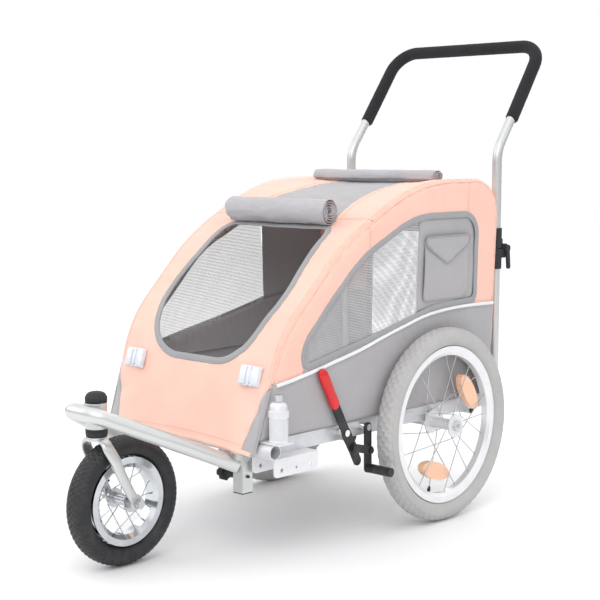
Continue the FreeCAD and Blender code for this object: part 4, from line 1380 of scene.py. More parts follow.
        opened = window[:, 0] < self.arch.axle_y + self.bag.net_end
        first = int(np.argmax(opened & ~np.roll(opened, 1)))
        loop = np.roll(window, -first, axis=0)[:int(opened.sum())]
        node = ["side_meshes"] if side is Side.LEFT else ()
        BENCH.piece(f"side_net_{word}", net_threads(loop, net_place), NET, self.body, node)
        self.pocket(side, window)
        LOG.info("side window %s: %.3f x %.3f m", word, *np.ptp(window, axis=0))

    def pocket(self, side: Side, window: np.ndarray) -> None:
        """Adds the grey panel behind the rear of a side window, with its flap pocket."""
        form = self.bag
        front = self.arch.axle_y + form.panel_front
        rear = window[window[:, 0] > front]
        top = float(np.interp(front, *self.upper_edge(window)))
        low = float(np.interp(front, *self.lower_edge(window)))
        outline = spaced(np.vstack([array((front, low), (front, top)),
                                    self.in_order(rear, window), array((front, low))])[:-1],
                         self.grid)
        flat, faces = cut_cloth(outline, [], self.grid)
        seed = 5.0 * side.value
        wave = np.stack([np.zeros(len(flat)), flat[:, 0], flat[:, 1]], axis=1)
        depth = creases(wave, seed, 0.0016, 9.0) - 0.0028
        space = self.side_place(flat, depth, side)
        self.sheet(f"side_rear_panel_{side.word}", flat, faces, space, GREY,
                   flip=side is Side.RIGHT)
        y0, y1 = front + form.front, front + form.rear
        z0, z1, tip = form.bottom, form.top, form.tip
        corners = array((y0, z0), (y0, z1), (y1, z1), (y1, z0))
        bag = rounded(corners, (form.corner,) * 4, self.grid, True)
        flat, faces = cut_cloth(bag, [], self.grid)
        swell = form.swell * np.sin(np.clip((flat[:, 1] - z0) / (z1 - z0), 0, 1) * math.pi)
        space = self.side_place(flat, swell - 0.0004, side)
        self.sheet(f"side_pocket_{side.word}", flat, faces, space, GREY,
                   flip=side is Side.RIGHT)
        flap = rounded(array((y0, z1), (y1, z1), (y1, tip + 0.02), ((y0 + y1) / 2.0, tip - 0.022),
                             (y0, tip + 0.02)), (0.004, 0.004, 0.012, 0.016, 0.012),
                       form.flap_step, True)
        flat, faces = cut_cloth(flap, [], form.flap_step)
        space = self.side_place(flat, np.full(len(flat), 0.0042), side)
        self.sheet(f"side_pocket_flap_{side.word}", flat, faces, space, GREY,
                   flip=side is Side.RIGHT)
        trim = self.side_place(flap, np.full(len(flap), 0.0044), side)
        BENCH.piece(f"side_pocket_trim_{side.word}",
                    Tape(0.0016, 0.0009).lay(trim, self.side_up(len(trim), side), True), BINDING,
                    self.body)

    def in_order(self, rear: np.ndarray, window: np.ndarray) -> np.ndarray:
        """The window's rear stretch, ordered from its top to its lower edge."""
        keep = window[:, 0] >= rear[:, 0].min() - 1e-9
        gap = int(np.argmin(keep))
        turned = np.roll(window, -gap, axis=0)
        kept = turned[np.roll(keep, -gap)]
        return kept if kept[0, 1] > kept[-1, 1] else kept[::-1]

    def upper_edge(self, window: np.ndarray) -> tuple[np.ndarray, np.ndarray]:
        """Upper edge of the window as rising y and its z."""
        top = window[window[:, 1] > 0.5]
        order = np.argsort(top[:, 0])
        return top[order, 0], top[order, 1]

    def lower_edge(self, window: np.ndarray) -> tuple[np.ndarray, np.ndarray]:
        """Lower edge of the window as rising y and its z."""
        under = 0.36 + (window[:, 0] - window[:, 0].min())
        low = window[(window[:, 1] < 0.45) & (window[:, 1] < under)]
        order = np.argsort(low[:, 0])
        return low[order, 0], low[order, 1]

    def lay_piping(self, side: Side, piping: np.ndarray,
                   relief: Callable[[np.ndarray], np.ndarray]) -> None:
        """Adds the reflective piping and the stitches beside it."""
        space = self.side_place(piping, relief(piping), side)
        ups = self.side_up(len(space), side)
        cord = Tape(0.0036, 0.0031, lift=0.0016).lay(space, ups, False, 2.0)
        BENCH.piece(f"reflective_piping_{side.word}", cord, PIPING, self.body)
        for offset, thread in ((0.0075, PEACH_THREAD), (-0.0075, GREY_THREAD)):
            row = piping + np.array([0.0, offset])
            space = self.side_place(row, relief(row), side)
            label = "upper" if offset > 0 else "lower"
            BENCH.piece(f"piping_stitches_{label}_{side.word}", stitches(space, ups, 0.0003), thread,
                        self.body)

    def arch_relief(self, flat: np.ndarray, seams: Sequence[Seam]) -> np.ndarray:
        """Relief of the arch sheet: slow creases, seam puckers and a dip between the hoops."""
        space = np.stack([flat[:, 0], flat[:, 1], np.full(len(flat), 1.5)], axis=1)
        total = creases(space, 1.5, 0.0022, 6.0) + creases(space, 4.5, 0.0008, 24.0)
        at = np.linspace(0.0, self.along[-1], 160)
        edges = [np.stack([side.value * self.edge_x(at), at], axis=1) for side in Side]
        sewn = [Seam(edge, depth=0.0, pucker=0.0009, pitch=0.03, reach=0.035) for edge in edges]
        for seam in [*sewn, *seams]:
            total += seam.relief(flat, 1.5)
        middle = 1.0 - np.clip(np.abs(flat[:, 0]) / 0.2, 0.0, 1.0) ** 2
        start, end = self.at_y(-0.19), self.at_y(0.16)
        share = np.clip((flat[:, 1] - start) / (end - start), 0.0, 1.0)
        sag = 0.003 + 0.011 * np.sin(share * math.pi) ** 2
        return total - sag * middle

    def build_front(self) -> None:
        """Builds the peach front sheet with its window, and the grey corners beside it."""
        top = self.at_y(-0.205)
        rows = np.linspace(0.0, top, 100)
        corner = self.at_front_z(np.array([0.335]))[0]
        strip = 0.034 * np.clip(1.0 - rows / corner, 0.0, 1.0) ** 0.7
        edge = self.edge_x(rows)
        inner = edge - strip
        across = np.linspace(-inner[0], inner[0], 50)
        hem = np.stack([across, 0.009 * (1.0 - (across / inner[0]) ** 2)], axis=1)
        outline = np.vstack([hem, np.stack([inner, rows], axis=1)[1:],
                             np.stack([-inner, rows], axis=1)[::-1]])
        outline = spaced(outline, self.grid)[:-1]
        window = self.front_window()
        ring = np.vstack([window, window[:1]])
        seams = [Seam(ring, depth=0.0004, pucker=0.0004, pitch=0.026)]

        def relief(flat: np.ndarray) -> np.ndarray:
            """Relief of the front, with slanting folds below the buckles."""
            total = self.arch_relief(flat, seams)
            for sign in (-1.0, 1.0):
                away = np.abs(flat[:, 0] * 0.55 - sign * 0.09 + (flat[:, 1] - 0.14) * sign * 0.7)
                fade = np.exp(-((flat[:, 1] - 0.1) / 0.075) ** 2)
                total += 0.0022 * np.cos(away * 95.0) * np.exp(-(away / 0.05) ** 2) * fade
            return total

        flat, faces = cut_cloth(outline, [window], self.grid)
        space = self.arch_place(flat, relief(flat))
        self.sheet("front_panel", flat, faces, space, PEACH,
                   ["front_cover"])
        for side in Side:
            sign = side.value
            low = rows[rows < corner]
            band = np.vstack([np.stack([sign * inner[: len(low)], low], axis=1),
                              np.stack([sign * edge[: len(low)], low], axis=1)[::-1]])
            band = closed_loop(band, 0.006)
            flat, faces = cut_cloth(band, [], 0.006)
            space = self.arch_place(flat, relief(flat))
            self.sheet(f"front_corner_{side.word}", flat, faces, space, GREY)
            self.corner_seam(side)
        self.front_trim(window, relief)

    def corner_seam(self, side: Side) -> None:
        """Adds the welt and stitches along the seam between the arch sheet and a side."""
        at = np.arange(0.002, self.along[-1] - 0.002, self.grid)
        flat = np.stack([side.value * self.edge_x(at), at], axis=1)
        space = self.arch_place(flat, np.zeros(len(flat)))
        normal = self.arch_up(at)
        ups = normal + np.array([side.value, 0.0, 0.0])
        ups /= np.linalg.norm(ups, axis=1, keepdims=True)
        upper = space[:, 2] > 0.336
        for label, part, finish in (("lower", ~upper, GREY), ("upper", upper, PEACH)):
            welt = Tape(0.0015, 0.0015).lay(space[part], ups[part], False, 2.0)
            BENCH.piece(f"corner_welt_{label}_{side.word}", welt, finish, self.body)
        beside = flat - np.array([side.value * 0.008, 0.0])
        row = self.arch_place(beside, np.zeros(len(beside)))
        BENCH.piece(f"corner_stitches_{side.word}", stitches(row[upper], normal[upper], 0.0012),
                    PEACH_THREAD, self.body)

    def front_trim(self, window: np.ndarray, relief: Callable[[np.ndarray], np.ndarray]) -> None:
        """Adds the front window's binding, its stitches and the hem along the lower edge."""
        space = self.arch_place(window, relief(window))
        ups = self.arch_up(window[:, 1])
        BENCH.piece("front_window_binding", Tape(0.0068, 0.0026, lift=0.0002).lay(space, ups, True),
                    BINDING, self.body)
        wider = window + (window - window.mean(axis=0)) * 0.022
        row = self.arch_place(wider, relief(wider))
        BENCH.piece("front_window_stitches", stitches(row, ups, 0.0014), GREY_THREAD, self.body)
        across = np.linspace(-0.2, 0.2, 70)
        for label, at in (("hem_fold", 0.004), ("hem_stitches", 0.016)):
            flat = np.stack([across, at + 0.009 * (1.0 - (across / 0.2) ** 2)], axis=1)
            line = self.arch_place(flat, relief(flat))
            normal = self.arch_up(flat[:, 1])
            if label == "hem_fold":
                BENCH.piece(label, Tape(0.004, 0.002).lay(line, normal, False), PEACH, self.body)
            else:
                BENCH.piece(label, stitches(line, normal, 0.0003), PEACH_THREAD, self.body)

    def arch_up(self, at: np.ndarray) -> np.ndarray:
        """Outward direction of the arch sheet at places along it."""
        out = np.stack([np.interp(at, self.along, self.outward[:, k]) for k in (0, 1)], axis=1)
        return np.stack([np.zeros(len(at)), out[:, 0], out[:, 1]], axis=1)

    def build_roof(self) -> None:
        """Builds the grey roof sheet and the peach bands on both its sides."""
        start, end = self.at_y(-0.2045), self.at_y(0.120)
        rows = np.linspace(start, end, 60)
        share = (rows - start) / (end - start)
        seam_x = 0.128 - 0.034 * share
        lines = {side: np.stack([side.value * seam_x, rows], axis=1) for side in Side}
        outline = closed_loop(np.vstack([lines[Side.LEFT], lines[Side.RIGHT][::-1]]), self.grid)
        seams = [Seam(line, pucker=0.0013, pitch=0.028) for line in lines.values()]

        def relief(flat: np.ndarray) -> np.ndarray:
            """Relief of the roof, with loose ripples behind the front roll."""
            loose = np.clip((flat[:, 1] - start) / 0.03, 0.0, 1.0)
            loose *= np.exp(-((flat[:, 1] - start) / 0.12) ** 2)
            loose *= np.clip((seam_x.min() - np.abs(flat[:, 0])) / 0.02, 0.0, 1.0)
            ripple = 0.0042 * loose * np.sin(flat[:, 0] * 74.0 + 3.0 * np.sin(flat[:, 1] * 40.0))
            return self.arch_relief(flat, seams) + ripple

        flat, faces = cut_cloth(outline, [], self.grid)
        space = self.arch_place(flat, relief(flat))
        self.sheet("roof_panel", flat, faces, space, GREY, ["roof_cover"])
        for side, line in lines.items():
            edge = np.stack([side.value * self.edge_x(rows), rows], axis=1)
            band = closed_loop(np.vstack([line, edge[::-1]]), self.grid)
            flat, faces = cut_cloth(band, [], self.grid)
            space = self.arch_place(flat, relief(flat))
            self.sheet(f"roof_band_{side.word}", flat, faces, space, PEACH)
            row = self.arch_place(line, relief(line))
            fold = Tape(0.0045, 0.0012).lay(row, self.arch_up(rows), False)
            BENCH.piece(f"roof_seam_{side.word}", fold, PEACH, self.body)
            beside = line + np.array([side.value * 0.008, 0.0])
            row = self.arch_place(beside, relief(beside))
            BENCH.piece(f"roof_stitches_{side.word}", stitches(row, self.arch_up(rows), 0.0003),
                        PEACH_THREAD, self.body)

    def build_rear(self) -> None:
        """Builds the rear: peach frame over a grey tub, with a net window."""
        start, end = self.at_y(0.1205), float(self.along[-1])
        back = self.line[:, 0] > self.arch.axle_y + self.arch.back_y - 1e-4
        falling_z, falling_s = self.line[back, 1][::-1], self.along[back][::-1]

        def at_back_z(z: float) -> float:
            """Distance along the outline at a height on the rear face."""
            return float(np.interp(z, falling_z, falling_s))

        split = at_back_z(0.432)
        top, low = at_back_z(0.585), at_back_z(0.29)
        window = rounded(array((-0.134, top), (0.134, top), (0.134, low), (-0.134, low)),
                         (0.035,) * 4, self.grid, True)

        def relief(flat: np.ndarray) -> np.ndarray:
            """Relief of the rear."""
            return self.arch_relief(flat, [Seam(np.vstack([window, window[:1]]), pucker=0.0004)])

        rows = np.linspace(start, end, 90)
        for side in Side:
            sign = side.value
            for label, first, last, finish in (("upper", start, split, PEACH),
                                               ("lower", split, end, GREY)):
                span = rows[(rows > first) & (rows < last)]
                span = np.concatenate([[first], span, [last]])
                edge = np.stack([sign * self.edge_x(span), span], axis=1)
                seam = np.stack([np.zeros(len(span)), span], axis=1)
                outline = closed_loop(np.vstack([seam, edge[::-1]]), self.grid)
                keep = ~inside(outline, window)
                outline = self.cut_window(outline[keep], window, sign, first, last)
                flat, faces = cut_cloth(outline, [], self.grid)
                space = self.arch_place(flat, relief(flat))
                node = ["rear_cover"] if (label, side) == ("upper", Side.LEFT) else ()
                self.sheet(f"rear_{label}_{side.word}", flat, faces, space, finish,
                           node)

        def net_place(flat: np.ndarray) -> np.ndarray:
            """Puts the net a little inside the cloth."""
            return self.arch_place(flat, np.full(len(flat), -0.002))

        BENCH.piece("rear_net", net_threads(window, net_place), NET, self.body)
        space = self.arch_place(window, relief(window))
        tape = Tape(0.008, 0.0024).lay(space, self.arch_up(window[:, 1]), True)
        BENCH.piece("rear_window_binding", tape, BINDING, self.body)

    def cut_window(self, outline: np.ndarray, window: np.ndarray, sign: float, first: float,
                   last: float) -> np.ndarray:
        """Leads half of the rear's outline round the window.

        Args:
            outline: The half's outline without the points in the window.
            window: The window's outline.
            sign: 1 on the left, -1 on the right.
            first: The half's upper end along the sheet.
            last: Its lower end.

        Returns:
            The outline round the window.
        """
        part = window[(window[:, 0] * sign > 1e-6) & (window[:, 1] > first) & (window[:, 1] < last)]
        part = part[np.argsort(np.arctan2(part[:, 1] - window[:, 1].mean(), part[:, 0] * sign))]
        on_seam = outline[np.abs(outline[:, 0]) < 1e-6]
        rest = outline[np.abs(outline[:, 0]) >= 1e-6]
        upper = on_seam[on_seam[:, 1] < window[:, 1].min()]
        lower = on_seam[on_seam[:, 1] > window[:, 1].max()]
        order = np.argsort(upper[:, 1])
        pieces = [upper[order]]
        if len(upper):
            pieces.append(array((0.0, window[:, 1].min())))
        pieces.append(part)
        if len(lower):
            pieces.append(array((0.0, window[:, 1].max())))
            pieces.append(lower[np.argsort(lower[:, 1])])
        head = np.vstack([piece for piece in pieces if len(piece)])
        return np.vstack([head, rest if rest[0, 1] > rest[-1, 1] else rest[::-1]])

    def build_roll(self, name: str, low: Vector, high: Vector, core: float, turns: float,
                   seed: float, shift: tuple[float, float], swell: float) -> bpy.types.Object:
        """Rolls a flap of cloth up into the space between two corners.

        Args:
            name: The piece's name.
            low: Lowest corner of the roll's space.
            high: Highest corner.
            core: Radius of the roll's hollow core.
            turns: Turns of the cloth.
            seed: Shifts its lumps.
            shift: How far it has slipped along y and z.
            swell: Its radius as a share of the space's.

        Returns:
            The roll.
        """
        radius = swell * (high.z - low.z) / 2.0
        centre = np.array([(low.y + high.y) / 2.0, (low.z + high.z) / 2.0]) + np.array(shift)
        steps, rows = int(40 * turns), 46
        angle = np.linspace(0.0, TAU * turns, steps) + 2.2
        spiral = np.linspace(core, radius - 0.0015, steps)
        coil = np.stack([spiral * np.cos(angle), spiral * np.sin(angle)], axis=1)
        flat_length = float(lengths(coil)[-1])
        across = np.linspace(low.x, high.x, rows)
        points = []
        for x in across:
            lump = noise.fractal(Vector((x * 14.0, seed, 0.0)), 0.8, 2.0, 3)
            squeeze = 1.0 - 0.09 * abs(lump)
            for step, (turn, r) in enumerate(zip(angle, spiral)):
                place = Vector((x * 20.0, math.cos(turn) * 1.6, math.sin(turn) * 1.6 + seed))
                fold = abs(noise.noise(place * 1.9))
                wave = 1.0 + 0.06 * noise.noise(place) - 0.10 * math.exp(-(fold / 0.07) ** 2)
                slip = 0.006 * math.sin(step * 0.09 + seed) * (abs(x) / max(abs(high.x), 1e-6)) ** 6
                y = centre[0] + r * squeeze * wave * math.cos(turn) + 0.0015 * lump
                z = centre[1] + r * squeeze * wave * math.sin(turn)
                points.append((x - math.copysign(abs(slip), x), y, z))
        starts = [row * steps + k for row in range(rows - 1) for k in range(steps - 1)]
        faces = [(at, at + 1, at + steps + 1, at + steps) for at in starts]
        made = BENCH.piece(name, Shape().add(np.array(points), faces), ROLL, self.body,
                           smooth_angle=70.0, thickness=0.0014)
        return made

    def build_rolls(self) -> None:
        """Builds the front roll over the window and the long roll on the roof."""
        low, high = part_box("flap_rolls")
        parts = points_of("flap_rolls")
        ahead = parts[:, 1] < (low.y + high.y) / 2.0
        for name, points, core, turns, seed, shift, swell in (
                ("front_roll", parts[ahead], 0.006, 4.6, 1.0, (-0.013, -0.012), 1.04),
                ("roof_roll", parts[~ahead], 0.004, 3.2, 6.0, (0.0, -0.011), 1.16)):
            made = self.build_roll(name, Vector(points.min(axis=0)), Vector(points.max(axis=0)),
                                   core, turns, seed, shift, swell)
            if name == "front_roll":
                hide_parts("flap_rolls")

    def build_buckles(self) -> None:
        """Builds the two buckles on the front sheet, each a plate with its prongs."""
        clips = points_of("front_clips")
        for side in Side:
            points = clips[clips[:, 0] * side.value > 0]
            centre = points.mean(axis=0)
            centre[0] = (points[:, 0].min() + points[:, 0].max()) / 2.0
            slope = math.atan2(self.arch.nose[1] - self.arch.hem[1],
                               self.arch.nose[0] - self.arch.hem[0])
            tilt = Matrix.Rotation(slope - math.pi / 2.0, 3, "X")

            def placed(shape: Shape, centre: np.ndarray = centre, tilt: Matrix = tilt) -> Shape:
                """Turns a shape onto the front's slope."""
                turn = np.array(tilt)
                shape.points = [part @ turn.T + centre for part in shape.points]
                return shape

            base = Shape().block((-0.025, -0.0005, -0.019), (0.025, 0.004, 0.019))
            for x in (-0.0165, 0.0165):
                base.block((x - 0.0075, -0.0046, -0.0165), (x + 0.0075, 0.001, 0.0165))
            base.block((-0.0085, -0.0028, -0.0125), (0.0085, 0.001, 0.0125))
            base.block((-0.0022, -0.0049, -0.0175), (0.0022, 0.001, 0.0175))
            node = ["front_clips"] if side is Side.LEFT else ()
            BENCH.piece(f"front_buckle_{side.word}", placed(base), CLIP, self.body, node,
                        bevel=0.0011)

    def build_floor(self) -> None:
        """Builds the floor mat, quilted in squares, over the floor board."""
        low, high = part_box("floor_board")
        count = (56, 96)
        xs, ys = np.linspace(low.x, high.x, count[0]), np.linspace(low.y, high.y, count[1])
        grid = np.array([(x, y) for y in ys for x in xs])
        quilt = np.prod(np.abs(np.sin(grid * math.pi / 0.09)), axis=1)
        top = high.z - 0.0004 + 0.0022 * np.sqrt(quilt)
        rim = np.minimum(np.minimum(grid[:, 0] - low.x, high.x - grid[:, 0]),
                         np.minimum(grid[:, 1] - low.y, high.y - grid[:, 1]))
        top -= 0.002 * np.exp(-rim / 0.004)
        upper = np.column_stack([grid, top])
        lower = np.column_stack([grid, np.full(len(grid), low.z)])
        size = len(grid)
        wide = count[0]
        faces = []
        for row in range(count[1] - 1):
            for col in range(wide - 1):
                a = row * wide + col
                faces.append((a, a + 1, a + wide + 1, a + wide))
                faces.append((size + a, size + a + wide, size + a + wide + 1, size + a + 1))
        border = ([(k, k + 1) for k in range(wide - 1)]
                  + [(wide * (k + 1) - 1, wide * (k + 2) - 1) for k in range(count[1] - 1)]
                  + [(size - 1 - k, size - 2 - k) for k in range(wide - 1)]
                  + [(size - wide * (k + 1), size - wide * (k + 2)) for k in range(count[1] - 1)])
        faces += [(a, size + a, size + b, b) for a, b in border]
        shape = Shape().add(np.vstack([upper, lower]), faces)
        mat = BENCH.piece("floor_mat", shape, GREY, self.body, ["floor_board"])

    def build(self) -> None:
        """Builds every piece of the cabin."""
        for side in Side:
            self.build_side(side)
        self.build_front()
        self.build_roof()
        self.build_rear()
        self.build_rolls()
        self.build_buckles()
        self.build_floor()
        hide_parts("side_covers")
        BENCH.keep("cabin_hoops", RAIL)


# ------------------------------------------------------------------ wheels
class Wheel:
    """A spoked wheel: treaded tyre with ribbed walls, rim, spokes, hub and reflectors."""

    def __init__(self, node: str, body: str, tyre: Finish, blocks: int, ribs: int,
                 depth: float = 0.0024, lanes: float = 2.9) -> None:
        """Measures the tyre's CAD node.

        Args:
            node: The tyre's node.
            body: The wheel's body.
            tyre: The tyre's finish.
            blocks: Tread blocks round the wheel.
            ribs: Fine ribs round each side wall.
            depth: Depth of the tread's grooves.
            lanes: Rows of blocks on each half of the tread.
        """
        self.node, self.body, self.tyre = node, body, tyre
        self.blocks, self.ribs, self.depth, self.lanes = blocks, ribs, depth, lanes
        low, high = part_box(node)
        self.centre = np.array((low + high) / 2.0)
        self.outer = float(high.z - low.z) / 2.0
        self.wide = float(high.x - low.x) / 2.0
        self.inner = min(math.hypot(v.co.y - self.centre[1], v.co.z - self.centre[2])
                         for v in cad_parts[node].data.vertices)

    def build_tyre(self) -> None:
        """Builds the tyre with its tread blocks, wall ribs and bead."""
        middle = (self.outer + self.inner) / 2.0
        high = (self.outer - self.inner) / 2.0
        angle = np.linspace(0.0, TAU, 56, endpoint=False)
        cos, sin = np.cos(angle), np.sin(angle)
        side = np.sign(cos) * np.abs(cos) ** 0.92
        share = np.sign(sin) * np.abs(sin) ** 0.92
        profile = np.stack([side * self.wide, middle + share * high], axis=1)

        def relief(turn: np.ndarray, index: np.ndarray) -> np.ndarray:
            """Grooves between the tread blocks and ribs on the walls."""
            lift, place = share[index], side[index]
            crown = np.clip((lift - 0.30) / 0.18, 0.0, 1.0)
            column = np.round(place * self.lanes)
            shifted = turn + (np.abs(column) % 2) * math.pi / self.blocks
            block = 1.0 / (1.0 + np.exp(-(np.cos(shifted * self.blocks) + 0.35) * 9.0))
            lanes = np.abs(np.sin((place * self.lanes + 0.5) * math.pi))
            lane = 1.0 / (1.0 + np.exp(-(lanes - 0.30) * 16.0))
            wall = np.exp(-((lift + 0.05) / 0.22) ** 2)
            rings = np.exp(-((lift - 0.18) / 0.03) ** 2) + np.exp(-((lift + 0.42) / 0.03) ** 2)
            return (0.00045 * wall * np.cos(turn * self.ribs) + 0.0006 * rings
                    - self.depth * crown * (1.0 - block * lane) - 0.0002 * crown)

        shape = Shape().turned(profile, self.centre, 0, self.blocks * 8, relief)
        BENCH.piece(self.node + "_treaded", shape, self.tyre, self.body, [self.node],
                    smooth_angle=46.0)

    def build_valve(self, way: float) -> None:
        """Builds the valve stem with its cap.

        Args:
            way: Where it stands round the wheel, in degrees.
        """
        turn = math.radians(way)
        out = np.array((0.0, math.cos(turn), math.sin(turn)))
        stem = array((0.0, 0.0024), (0.004, 0.0024), (0.0042, 0.0034), (0.012, 0.0034),
                     (0.0122, 0.0028), (0.030, 0.0028))
        path = self.centre + out * (self.inner - 0.030 + stem[:, :1])

        def section(share: float) -> np.ndarray:
            """Section of the stem at a share of its rings."""
            radius = stem[round(share * (len(stem) - 1)), 1]
            return oval(radius, radius, 14)

        shape = Shape().sweep(path, section, np.array((1.0, 0.0, 0.0)))
        BENCH.piece(self.node + "_valve", shape, BLACK, self.body, smooth_angle=30.0)

    def build(self, parts: dict[str, Finish], valve: float) -> None:
        """Builds the tyre and valve and dresses the CAD parts.

        Args:
            parts: Finish of each CAD node kept.
            valve: Where the valve stands, in degrees.
        """
        self.build_tyre()
        self.build_valve(valve)
        for node, finish in parts.items():
            BENCH.keep(node, finish, 0.0004)


# ------------------------------------------------------------------ steering kit
@dataclass(frozen=True)
class YokeForm:
    """The bent yoke tube between the two posts and the head tube."""

    radius: float = 0.0143
    bulge: float = 0.012
    arm_radius: float = 0.3
    nose_radius: float = 0.03
    nose_z: float = 0.296
    end_x: float = 0.152
    end_z: float = 0.186
    head_radius: float = 0.0195
    cope: float = 0.002
    flat_high: float = 0.0125
    flat_wide: float = 0.0148


@dataclass(frozen=True)
class ForkForm:
    """The fork's flattened blades and the eyes at their ends."""

    blade_x: float = 0.037
    blade_wide: float = 0.0112
    blade_thick: float = 0.0046
    curve: float = 1.35
    eye_bore: float = 0.0053
    eye_radius: float = 0.0119


class SteeringKit:
    """Yoke tube, head tube with its cap and cup, fork and the front wheel's fastening."""

    def __init__(self) -> None:
        """Measures the head tube, posts and axle."""
        self.form = YokeForm()
        self.fork = ForkForm()
        self.head = centre_of("head_tube")
        self.head_low, self.head_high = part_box("head_tube")
        self.posts_low, self.posts_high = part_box("yoke_posts")
        self.axle = centre_of("front_tyre")

    def build_yoke(self) -> None:
        """Builds the yoke tube, a little flattened where it wraps the head tube."""
        form = self.form
        front = self.head[1] - (form.head_radius + form.radius - form.cope)
        end_y = float(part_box("yoke_bow")[1].y) - 0.006
        end = np.array((form.end_x, end_y, form.end_z))
        nose = np.array((form.head_radius + form.radius, front, form.nose_z))
        bowed = (end + nose) / 2.0 + np.array((form.bulge, 0.0, 0.0))
        half = np.array((end, bowed, nose))
        corners = np.vstack([half, half[::-1] * np.array((-1.0, 1.0, 1.0))])
        radii = (form.arm_radius, form.nose_radius, form.nose_radius, form.arm_radius)
        path = rounded(corners, radii, 0.005)
        along = lengths(path)
        total = along[-1]

        def section(share: float) -> np.ndarray:
            """Round tube, pressed flatter at its middle and at its ends."""
            away = abs(share - 0.5) * total
            pressed = math.exp(-(away / 0.045) ** 2)
            foot = math.exp(-(min(share, 1.0 - share) * total / 0.03) ** 2)
            wide = form.radius + (form.flat_wide - form.radius) * pressed - 0.001 * foot
            high = form.radius - 0.0009 * pressed
            return oval(wide, high, 28, 2.0 + 0.6 * pressed + 0.8 * foot)

        shape = Shape().sweep(path, section, np.array((0.0, -0.35, 1.0)))
        BENCH.piece("yoke_tube", shape, ZINC, "chassis", ["yoke_bow"], smooth_angle=50.0)
        weld = []
        for turn in np.linspace(-1.25, 1.25, 44):
            away = form.head_radius + 0.0006
            weld.append((away * math.sin(turn), self.head[1] - away * math.cos(turn)))
        flat = np.array(weld)
        for label, z in (("upper", form.nose_z + 0.0132), ("lower", form.nose_z - 0.0138)):
            wobble = np.array([0.0004 * noise.noise(Vector((x * 300.0, y * 300.0, z * 90.0)))
                               for x, y in weld])
            line = np.column_stack([flat, z + wobble])
            bead = Shape().sweep(line, lambda share: oval(
                0.0021 + 0.0003 * math.sin(share * 150.0), 0.0017, 10), np.array((0.0, 0.0, 1.0)))
            BENCH.piece(f"yoke_weld_{label}", bead, ZINC, "chassis", smooth_angle=80.0)

    def build_head(self) -> None:
        """Builds the domed cap above the head tube and the cup below it."""
        bottom, top = float(self.head_low.z), float(self.head_high.z)
        centre = np.array((self.head[0], self.head[1], 0.0))
        bore = 0.0150
        cap = array((top, bore), (top, 0.0199), (top + 0.0022, 0.0200), (top + 0.0026, 0.0192),
                    (top + 0.0034, 0.0192), (top + 0.0040, 0.0200), (top + 0.0100, 0.0200),
                    (top + 0.0112, 0.0193), (top + 0.0118, 0.0185), (top + 0.0150, 0.0172),
                    (top + 0.0176, 0.0142), (top + 0.0192, 0.0098), (top + 0.0199, 0.0048),
                    (top + 0.0200, 0.0), (top + 0.009, 0.0), (top + 0.009, bore))
        cup = array((bottom - 0.015, bore), (bottom - 0.015, 0.0176), (bottom - 0.0138, 0.0190),
                    (bottom - 0.0090, 0.0200), (bottom - 0.0050, 0.0200), (bottom - 0.0044, 0.0194),
                    (bottom - 0.0036, 0.0194), (bottom - 0.0030, 0.0200), (bottom, 0.0200),
                    (bottom, bore))
        shape = Shape().turned(cap, centre, 2, 56).turned(cup, centre, 2, 56)
        BENCH.piece("head_cap_and_cup", shape, BLACK, "chassis", ["head_caps"], smooth_angle=34.0)

    def build_fork(self) -> None:
        """Builds the one-piece fork: two flattened blades that curve out from the cup."""
        shape, form = Shape(), self.fork
        top_z, axle_z = float(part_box("fork")[1].z), float(self.axle[2])
        crown = array((-0.0069, 0.0130), (-0.0069, 0.0186), (-0.0055, 0.0196), (-0.0010, 0.0196),
                      (0.0, 0.0188), (0.0, 0.0130))
        crown[:, 0] += top_z
        shape.turned(crown, np.array((self.head[0], self.head[1], 0.0)), 2, 48)
        for side in Side:
            rake = float(self.axle[1] - self.head[1])
            shares = np.linspace(0.0, 1.0, 40)
            drop = top_z - 0.0085
            marks = [(side.value * 0.004, self.head[1], drop + 0.0048),
                     (side.value * 0.015, self.head[1], drop + 0.0042),
                     (side.value * 0.0255, self.head[1] + 0.0006, drop - 0.0012),
                     (side.value * 0.0330, self.head[1] + 0.0016, drop - 0.0120)]
            start = drop - 0.032
            for share in shares[1::4]:
                z = start - share * (start - axle_z)
                fall = (top_z - z) / (top_z - axle_z)
                marks.append((side.value * form.blade_x,
                              self.head[1] + rake * fall ** form.curve, z))
            marks.append((side.value * form.blade_x, float(self.axle[1]), axle_z + 0.001))
            path = smooth_line(np.array(marks), 0.004)

            def section(share: float) -> np.ndarray:
                """Flattened blade, narrowing towards the axle."""
                taper = 1.0 - 0.2 * max(0.0, share - 0.35) / 0.65
                press = 1.0 - 0.42 * max(0.0, share - 0.86) / 0.14
                return oval(form.blade_wide * taper, form.blade_thick * press, 24, 2.4)

            across = np.array((side.value, 0.0, 0.0))
            ups = np.repeat(across[None, :], len(path), axis=0)
            ups[:8] += np.outer(np.linspace(1.6, 0.0, 8), (0.0, 0.0, 1.0))
            shape.sweep(path, section, ups)
            bore, radius = form.eye_bore, form.eye_radius
            eye = array((-0.0022, bore), (-0.0022, radius - 0.0007), (-0.0016, radius),
                        (0.0016, radius), (0.0022, radius - 0.0007), (0.0022, bore))
            centre = np.array((side.value * form.blade_x, float(self.axle[1]), axle_z))
            shape.turned(eye, centre, 0, 40)
        BENCH.piece("fork_blades", shape, ZINC, "fork", ["fork"], smooth_angle=48.0)

